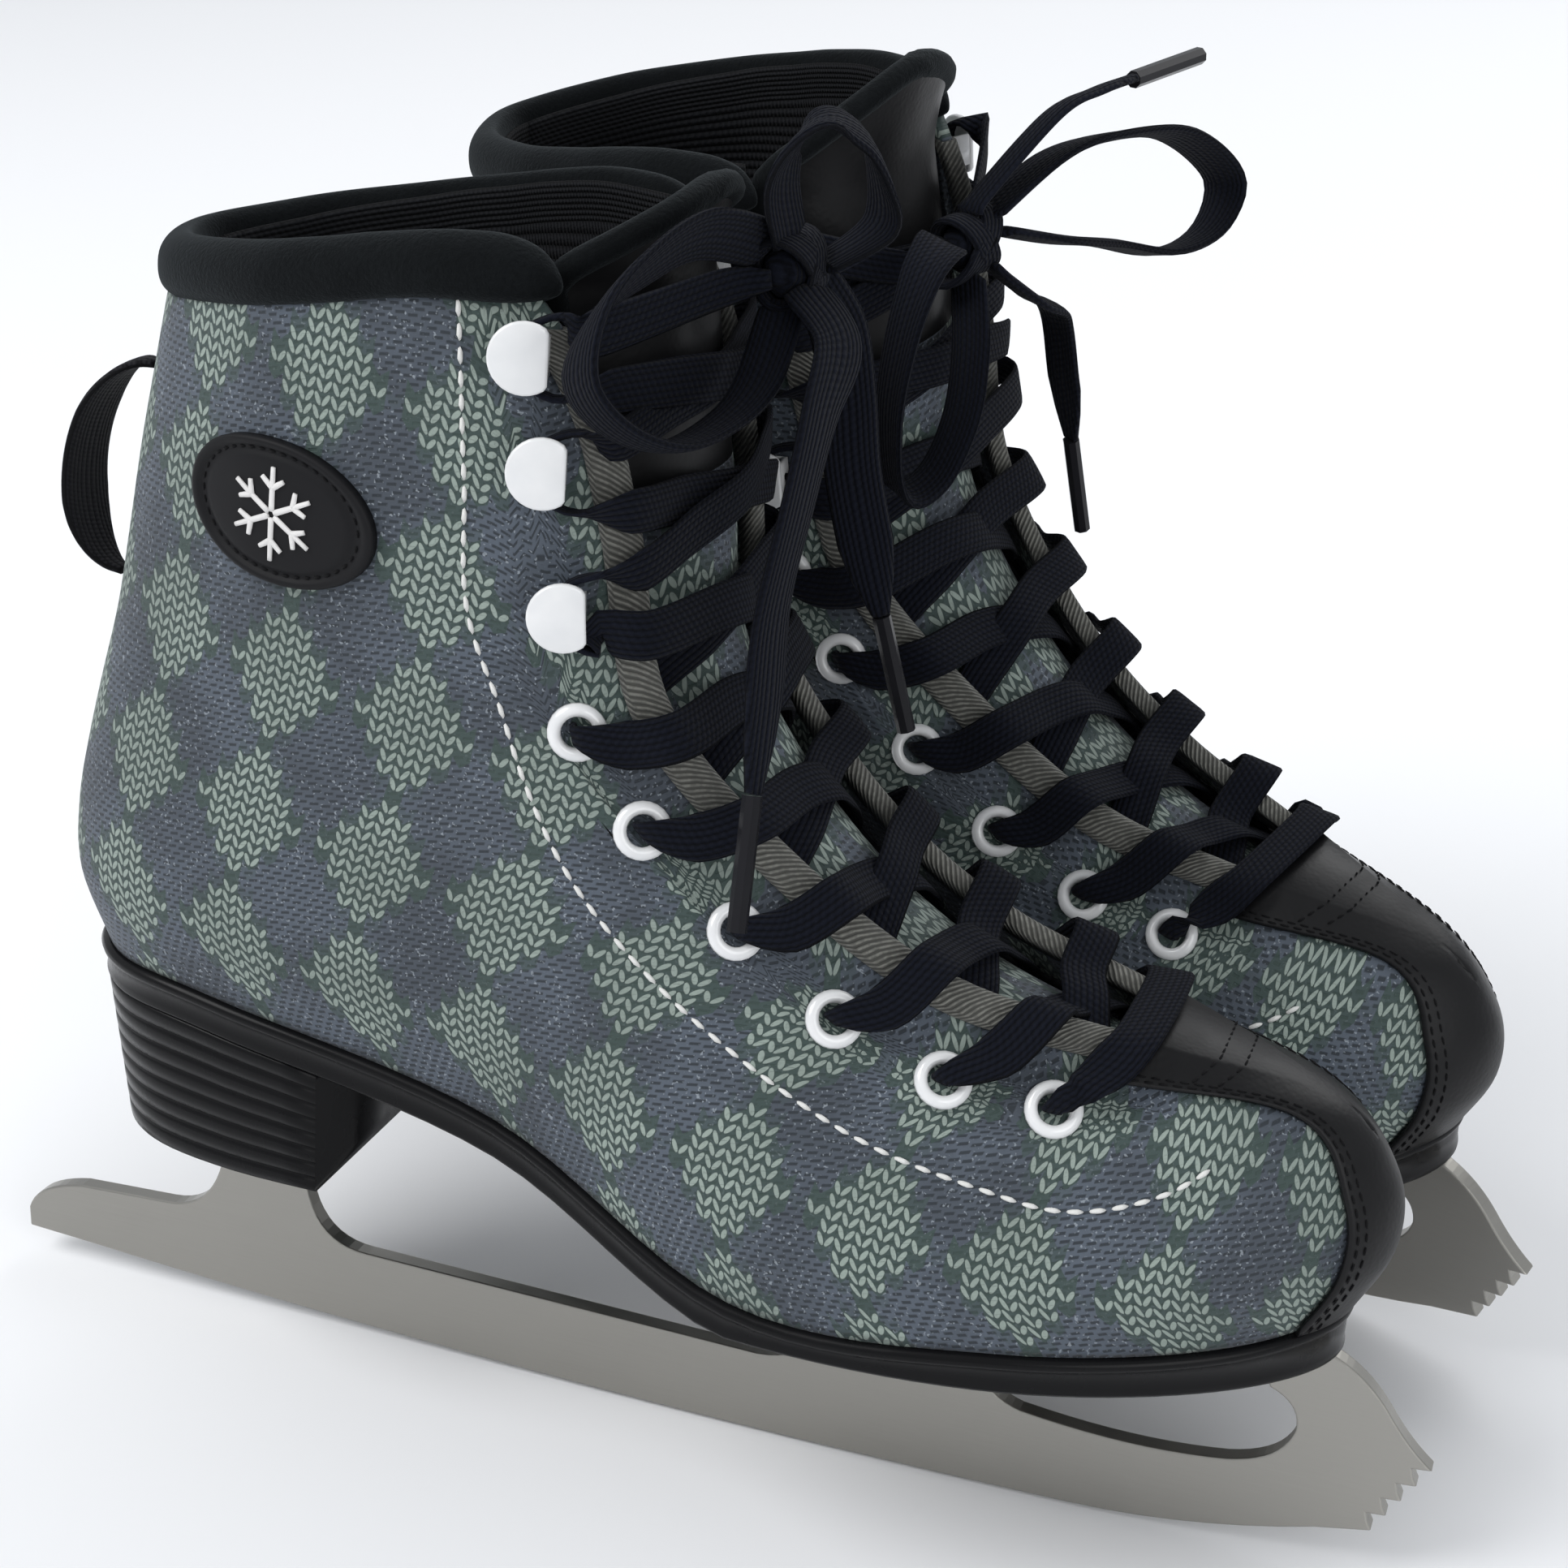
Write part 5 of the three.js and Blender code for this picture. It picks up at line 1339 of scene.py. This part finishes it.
def make_heel(foot):
    """Stacked heel: thin lifts that show as level lines, tapering down to the heel plate."""
    lifts, rings = 8, []
    for u in fine_steps(2 * HEEL_ENDS, 60)[:31]:
        high, low = underside(u) - CLEARANCE * 0.3, SOLE_HEIGHT
        stops = []
        for k in range(lifts):
            top, bottom = (lerp(high, low, (k + share) / lifts) for share in (0, 1))
            stops += [(0.15, top), (-0.45, top - 0.4), (-0.5, (top + bottom) / 2), (-0.45, bottom + 0.4)]
        stops.append((0.3, low))
        sides = []
        for side in SIDES:
            line = sole_profile(side, u, stops)
            for p in line:
                share = (high - p.z) / max(high - low, 1e-6)
                shrink = lerp(1, HEEL_TAPER, share)
                p.x, p.y = HEEL_MIDDLE + (p.x - HEEL_MIDDLE) * shrink, p.y * shrink
            sides.append(line)
        rings.append(sides[0] + sides[1][::-1])
    dress(finish_mesh("heel", foot, loft(rings), finish("sole")), foot, "sole_rubber", "heel")


def rocker(x):
    """Height of the running edge: a long arc that turns up more in front."""
    lowest, radius, bend = 158, 2145, 222
    return (x - lowest) ** 2 / (2 * radius) + 0.003 * max(0.0, x - bend) ** 2


def curve_to(line, control, end, count=10):
    """Adds a smooth bend to an outline."""
    a, b, c = Vector(line[-1]), Vector(control), Vector(end)
    for i in range(1, count + 1):
        t = i / count
        line.append(tuple(a * (1 - t) ** 2 + b * 2 * t * (1 - t) + c * t * t))


def blade_outline():
    """The blade from the side: running edge, picks, front support, two openings, rear support, tail."""
    top = SOLE_HEIGHT - 0.4 - CLEARANCE
    line = [(0, 5.6)] + [(14 + i * 6.3, rocker(14 + i * 6.3)) for i in range(41)]
    x, z = 275.7, 10.6
    for _ in range(4):
        line += [(x, z), (x - 0.9, z + 1.7), (x - 1.3, z + 3.4)]
        x, z = x + 2.2, z + 3.7
    line.append((284.5, 25.5))
    curve_to(line, (280, 29), (276, 35))
    curve_to(line, (271.5, 41.5), (265, top))
    line += [(255, top), (255, 35)]
    curve_to(line, (260.8, 33), (260.5, 27.5))
    curve_to(line, (259, 20.5), (249, 18.3))
    curve_to(line, (232, 15.4), (211, 18))
    curve_to(line, (203, 20), (203, 28))
    line += [(203, top), (172, top), (172, 28)]
    curve_to(line, (171.5, 17.5), (160, 16.7))
    line.append((78, 17.9))
    curve_to(line, (67, 18), (65, 30))
    line += [(65, top), (46, top), (46, 31)]
    curve_to(line, (43, 19.5), (33, 19))
    line.append((13, 18))
    curve_to(line, (2, 16), (0, TAIL_HEIGHT))
    return line


def make_blade(foot):
    """Ground steel blade with its picks, its openings and softened edges."""
    bm = solid_from(blade_outline(), -BLADE_HALF, BLADE_HALF, 0)
    bmesh.ops.triangulate(bm, faces=[f for f in bm.faces if len(f.verts) > 4])
    stand = Matrix(((1, 0, 0, 0), (0, 0, -1, 0), (0, 1, 0, 0), (0, 0, 0, 1)))
    bmesh.ops.transform(bm, matrix=stand, verts=bm.verts)
    bmesh.ops.recalc_face_normals(bm, faces=bm.faces)
    obj = finish_mesh("blade", foot, bm, finish("steel"), smooth=False)
    dress(obj, foot, "blade_steel", "blade")
    edge = obj.modifiers.new("Softened edge", "BEVEL")
    edge.width = 0.35 * MM
    edge.segments = 2
    edge.limit_method = "ANGLE"
    edge.angle_limit = math.radians(50)


def paint_node(name, material):
    """A solid whose shape is right keeps it and gets its finish."""
    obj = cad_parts[name]
    obj.data.materials.clear()
    obj.data.materials.append(material)


# ---- stage ----
CAMERA_AT = (0.21675, -0.4157, 0.34606)
CAMERA_LENS = 63.34
CAMERA_ROLL = math.radians(0.59)
FORWARD, RIGHTWARD = (-0.421, 0.787, -0.451), (0.882, 0.472, 0)
LAMPS = (("Key", (-0.9, -0.9, 1.5), 1.2, 24),   # name, place, size and power
         ("Fill", (1.6, -1.1, 0.9), 1.4, 12),
         ("Back", (0.3, 1.6, 1.4), 1.6, 14))


def make_stage():
    """Pale floor, soft studio light and a still camera."""
    scene = bpy.context.scene
    camera = bpy.data.cameras.new("Camera")
    camera.lens = CAMERA_LENS
    camera.sensor_width = 36
    camera.clip_start = 0.01
    eye = bpy.data.objects.new("Camera", camera)
    scene.collection.objects.link(eye)
    forward, level = Vector(FORWARD).normalized(), Vector(RIGHTWARD).normalized()
    upright = level.cross(forward).normalized()
    c, n = math.cos(CAMERA_ROLL), math.sin(CAMERA_ROLL)
    turn = Matrix((level * c + upright * n, upright * c - level * n, -forward)).transposed().to_4x4()
    eye.matrix_world = Matrix.Translation(CAMERA_AT) @ turn
    scene.camera = eye

    floor = bmesh.new()
    bmesh.ops.create_grid(floor, x_segments=1, y_segments=1, size=6)
    bmesh.ops.translate(floor, vec=(0, 0, -0.0005), verts=floor.verts)
    mesh = bpy.data.meshes.new("Floor")
    floor.to_mesh(mesh)
    floor.free()
    ground = bpy.data.objects.new("Floor", mesh)
    scene.collection.objects.link(ground)
    mesh.materials.append(Finish("Floor", (0.84, 0.845, 0.86), 0.75).material)

    world = bpy.data.worlds.new("Studio")
    scene.world = world
    world.use_nodes = True
    back = world.node_tree.nodes["Background"]
    back.inputs["Color"].default_value = (0.93, 0.96, 1.0, 1)
    back.inputs["Strength"].default_value = 0.62
    for name, at, size, power in LAMPS:
        lamp = bpy.data.lights.new(name, "AREA")
        lamp.shape = "DISK"
        lamp.size = size
        lamp.energy = power
        obj = bpy.data.objects.new(name, lamp)
        scene.collection.objects.link(obj)
        aim = (Vector((0, 0, 0.1)) - Vector(at)).to_track_quat("-Z", "Y")
        obj.matrix_world = Matrix.Translation(at) @ aim.to_matrix().to_4x4()
    scene.view_settings.view_transform = "Standard"


# ---- operators ----
class SkatesOperator(bpy.types.Operator):
    """Makes one kind of piece for both feet."""

    bl_options = {"REGISTER", "UNDO"}

    def execute(self, context):
        for foot in FEET:
            self.make(foot, context.scene.skates_sizes)
        return {"FINISHED"}


class SKATES_OT_stage(bpy.types.Operator):
    """Adds the camera, the light and the floor"""

    bl_idname = "skates.stage"
    bl_label = "Stage"

    def execute(self, context):
        make_stage()
        return {"FINISHED"}


class SKATES_OT_bows(SkatesOperator):
    """Makes the loops and loose ends of the laces"""

    bl_idname = "skates.bows"
    bl_label = "Bows"

    def make(self, foot, sizes):
        for name in ("bow_loop_a", "bow_loop_b", "lace_end_a", "lace_end_b"):
            make_loose_lace(foot, name, sizes)
        for end in "ab":
            paint_node(f"{foot}_aglet_{end}", finish("aglet"))


class SKATES_OT_knots(SkatesOperator):
    """Makes the knots of the bows"""

    bl_idname = "skates.knots"
    bl_label = "Knots"

    def make(self, foot, sizes):
        make_knot(foot)


class SKATES_OT_laces(SkatesOperator):
    """Makes the laces through hooks and eyelets"""

    bl_idname = "skates.laces"
    bl_label = "Laces"

    def make(self, foot, sizes):
        make_lace(foot, sizes)


class SKATES_OT_uppers(SkatesOperator):
    """Makes the cloth uppers and their white saddle stitches"""

    bl_idname = "skates.uppers"
    bl_label = "Uppers"

    def make(self, foot, sizes):
        for side in SIDES:
            make_upper(foot, side)
        make_saddle_stitch(foot, sizes)


class SKATES_OT_linings(SkatesOperator):
    """Makes the ribbed linings"""

    bl_idname = "skates.linings"
    bl_label = "Linings"

    def make(self, foot, sizes):
        make_lining(foot)


class SKATES_OT_bindings(SkatesOperator):
    """Makes the twill tape on the flaps and down the back seam"""

    bl_idname = "skates.bindings"
    bl_label = "Bindings"

    def make(self, foot, sizes):
        for side in SIDES:
            make_binding(foot, side)
        make_back_stay(foot)


class SKATES_OT_toe_strips(SkatesOperator):
    """Makes the leather strips over the toes"""

    bl_idname = "skates.toe_strips"
    bl_label = "Toe strips"

    def make(self, foot, sizes):
        make_toe_strip(foot)


class SKATES_OT_collars(SkatesOperator):
    """Makes the padded fleece collars"""

    bl_idname = "skates.collars"
    bl_label = "Collars"

    def make(self, foot, sizes):
        make_collar(foot, sizes)


class SKATES_OT_tongues(SkatesOperator):
    """Makes the padded tongues"""

    bl_idname = "skates.tongues"
    bl_label = "Tongues"

    def make(self, foot, sizes):
        make_tongue(foot)


class SKATES_OT_eyelets(SkatesOperator):
    """Makes the white eyelets"""

    bl_idname = "skates.eyelets"
    bl_label = "Eyelets"

    def make(self, foot, sizes):
        for side in SIDES:
            make_eyelets(foot, side)


class SKATES_OT_hooks(SkatesOperator):
    """Makes the white speed hooks"""

    bl_idname = "skates.hooks"
    bl_label = "Hooks"

    def make(self, foot, sizes):
        for side in SIDES:
            make_hooks(foot, side)


class SKATES_OT_badges(SkatesOperator):
    """Makes the oval badges"""

    bl_idname = "skates.badges"
    bl_label = "Badges"

    def make(self, foot, sizes):
        make_badge(foot)


class SKATES_OT_pull_loops(SkatesOperator):
    """Makes the webbing loops at the back"""

    bl_idname = "skates.pull_loops"
    bl_label = "Pull loops"

    def make(self, foot, sizes):
        make_pull_loop(foot)


class SKATES_OT_soles(SkatesOperator):
    """Makes the moulded soles and stacked heels"""

    bl_idname = "skates.soles"
    bl_label = "Soles and heels"

    def make(self, foot, sizes):
        make_outsole(foot)
        make_heel(foot)
        paint_node(f"{foot}_insole", finish("board"))


class SKATES_OT_blades(SkatesOperator):
    """Makes the blades and finishes their plates"""

    bl_idname = "skates.blades"
    bl_label = "Blades"

    def make(self, foot, sizes):
        make_blade(foot)
        for plate in ("toe_plate", "heel_plate"):
            paint_node(f"{foot}_{plate}", finish("steel"))


OPERATORS = (
    SKATES_OT_stage,
    SKATES_OT_bows,
    SKATES_OT_knots,
    SKATES_OT_laces,
    SKATES_OT_uppers,
    SKATES_OT_linings,
    SKATES_OT_bindings,
    SKATES_OT_toe_strips,
    SKATES_OT_collars,
    SKATES_OT_tongues,
    SKATES_OT_eyelets,
    SKATES_OT_hooks,
    SKATES_OT_badges,
    SKATES_OT_pull_loops,
    SKATES_OT_soles,
    SKATES_OT_blades,
)


class SKATES_PT_panel(bpy.types.Panel):
    """Lists the skates' settings and the steps that make them"""

    bl_label = "Figure skates"
    bl_idname = "SKATES_PT_panel"
    bl_space_type = "VIEW_3D"
    bl_region_type = "UI"
    bl_category = "Skates"

    def draw(self, context):
        for settings in (context.scene.skates_sizes, context.scene.skates_look):
            box = self.layout.box()
            for name in settings.__annotations__:
                box.prop(settings, name)
        for operator in OPERATORS:
            self.layout.operator(operator.bl_idname)


CLASSES = (SKATES_PG_look, SKATES_PG_sizes, *OPERATORS, SKATES_PT_panel)


def register():
    for cls in CLASSES:
        bpy.utils.register_class(cls)
    bpy.types.Scene.skates_look = PointerProperty(type=SKATES_PG_look)
    bpy.types.Scene.skates_sizes = PointerProperty(type=SKATES_PG_sizes)


def unregister():
    del bpy.types.Scene.skates_sizes
    del bpy.types.Scene.skates_look
    for cls in reversed(CLASSES):
        bpy.utils.unregister_class(cls)


def main():
    register()
    for operator in OPERATORS:
        group, name = operator.bl_idname.split(".")
        getattr(getattr(bpy.ops, group), name)()


if __name__ == "__main__":
    main()
